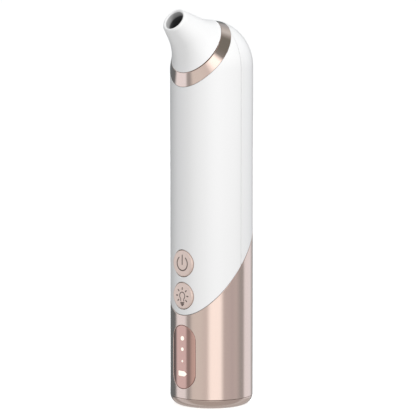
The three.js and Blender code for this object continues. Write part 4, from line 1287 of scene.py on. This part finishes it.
def world_angle(tree):
    """Compass angle of a world direction, from 0 to 1 over a full turn."""
    parts = world_parts(tree)
    forward = operate(tree, "ShaderNodeMath", "MULTIPLY", parts["Y"], -1)["Value"]
    turn = operate(tree, "ShaderNodeMath", "ARCTAN2", parts["X"], forward)["Value"]
    return mapped(tree, turn, (-pi, pi))


def height_share(tree, edge):
    """0 for world directions below an edge zone, 1 above it; the zone is given as sines of elevation."""
    return mapped(tree, world_parts(tree)["Z"], edge)


def studio_zone(tree, stops):
    return ramp(tree, world_angle(tree), [((angle + 180) / 360, colour) for angle, colour in stops])


def mixed(tree, share, low, high):
    made = tree.nodes.new("ShaderNodeMix")
    made.data_type = "RGBA"
    tree.links.new(share, made.inputs["Factor"])
    tree.links.new(low, made.inputs[RGBA_A])
    tree.links.new(high, made.inputs[RGBA_B])
    return made.outputs[RGBA_RESULT]


def lifted(tree, colour):
    """The same colour, brighter above the horizon, where the soft boxes are."""
    strength = mapped(tree, height_share(tree, GLOW_EDGE), (0.0, 1.0), (1.0, GLOW))
    made = tree.nodes.new("ShaderNodeVectorMath")
    made.operation = "SCALE"
    tree.links.new(colour, made.inputs["Vector"])
    tree.links.new(strength, made.inputs["Scale"])
    return made.outputs["Vector"]


def key_side(tree):
    """How much a world direction leans towards the bright side of the wash."""
    lean = operate(tree, "ShaderNodeVectorMath", "DOT_PRODUCT", world_direction(tree), WASH_TOWARDS)
    return mapped(tree, lean["Value"], (-1.0, 1.0))


def background(tree, colour):
    made = tree.nodes.new("ShaderNodeBackground")
    tree.links.new(colour, made.inputs["Color"])
    return made.outputs["Background"]


def add_world():
    """Panels for reflections, a white backdrop for the camera, and a soft wash for everything else."""
    world = bpy.data.worlds.new("studio")
    bpy.context.scene.world = world
    world.use_nodes = True
    tree = world.node_tree
    tree.nodes.clear()
    lower = mixed(tree, height_share(tree, TABLE_EDGE), studio_zone(tree, TABLE), studio_zone(tree, SIDES))
    whole = mixed(tree, height_share(tree, CEILING_EDGE), lower, studio_zone(tree, CEILING))
    panels = background(tree, lifted(tree, whole))
    wash = background(tree, ramp(tree, key_side(tree), [(0.0, WASH_DIM), (1.0, WASH_BRIGHT)]))
    backdrop = node(tree, "ShaderNodeBackground", Color=(1, 1, 1, 1)).outputs["Background"]
    rays = tree.nodes.new("ShaderNodeLightPath").outputs
    lit = either(tree, rays["Is Glossy Ray"], wash, panels)
    seen = either(tree, rays["Is Camera Ray"], lit, backdrop)
    tree.links.new(seen, tree.nodes.new("ShaderNodeOutputWorld").inputs["Surface"])


def add_light(name, towards, size, energy):
    """A soft box that faces the object and doesn't show in reflections."""
    data = bpy.data.lights.new(name, "AREA")
    data.size = size
    data.energy = energy
    light = link(name, data)
    light.location = Vector((0, 0, AIM_HEIGHT)) + towards * LIGHT_DISTANCE
    turn_back_to(light, towards)
    light.visible_glossy = False


add_camera()
add_floor()
add_world()
add_light("key_light", direction(86, 50), size=0.28, energy=8.9)
add_light("rear_fill", direction(225, 30), size=1.0, energy=7.0)
bpy.context.scene.view_settings.view_transform = "Standard"
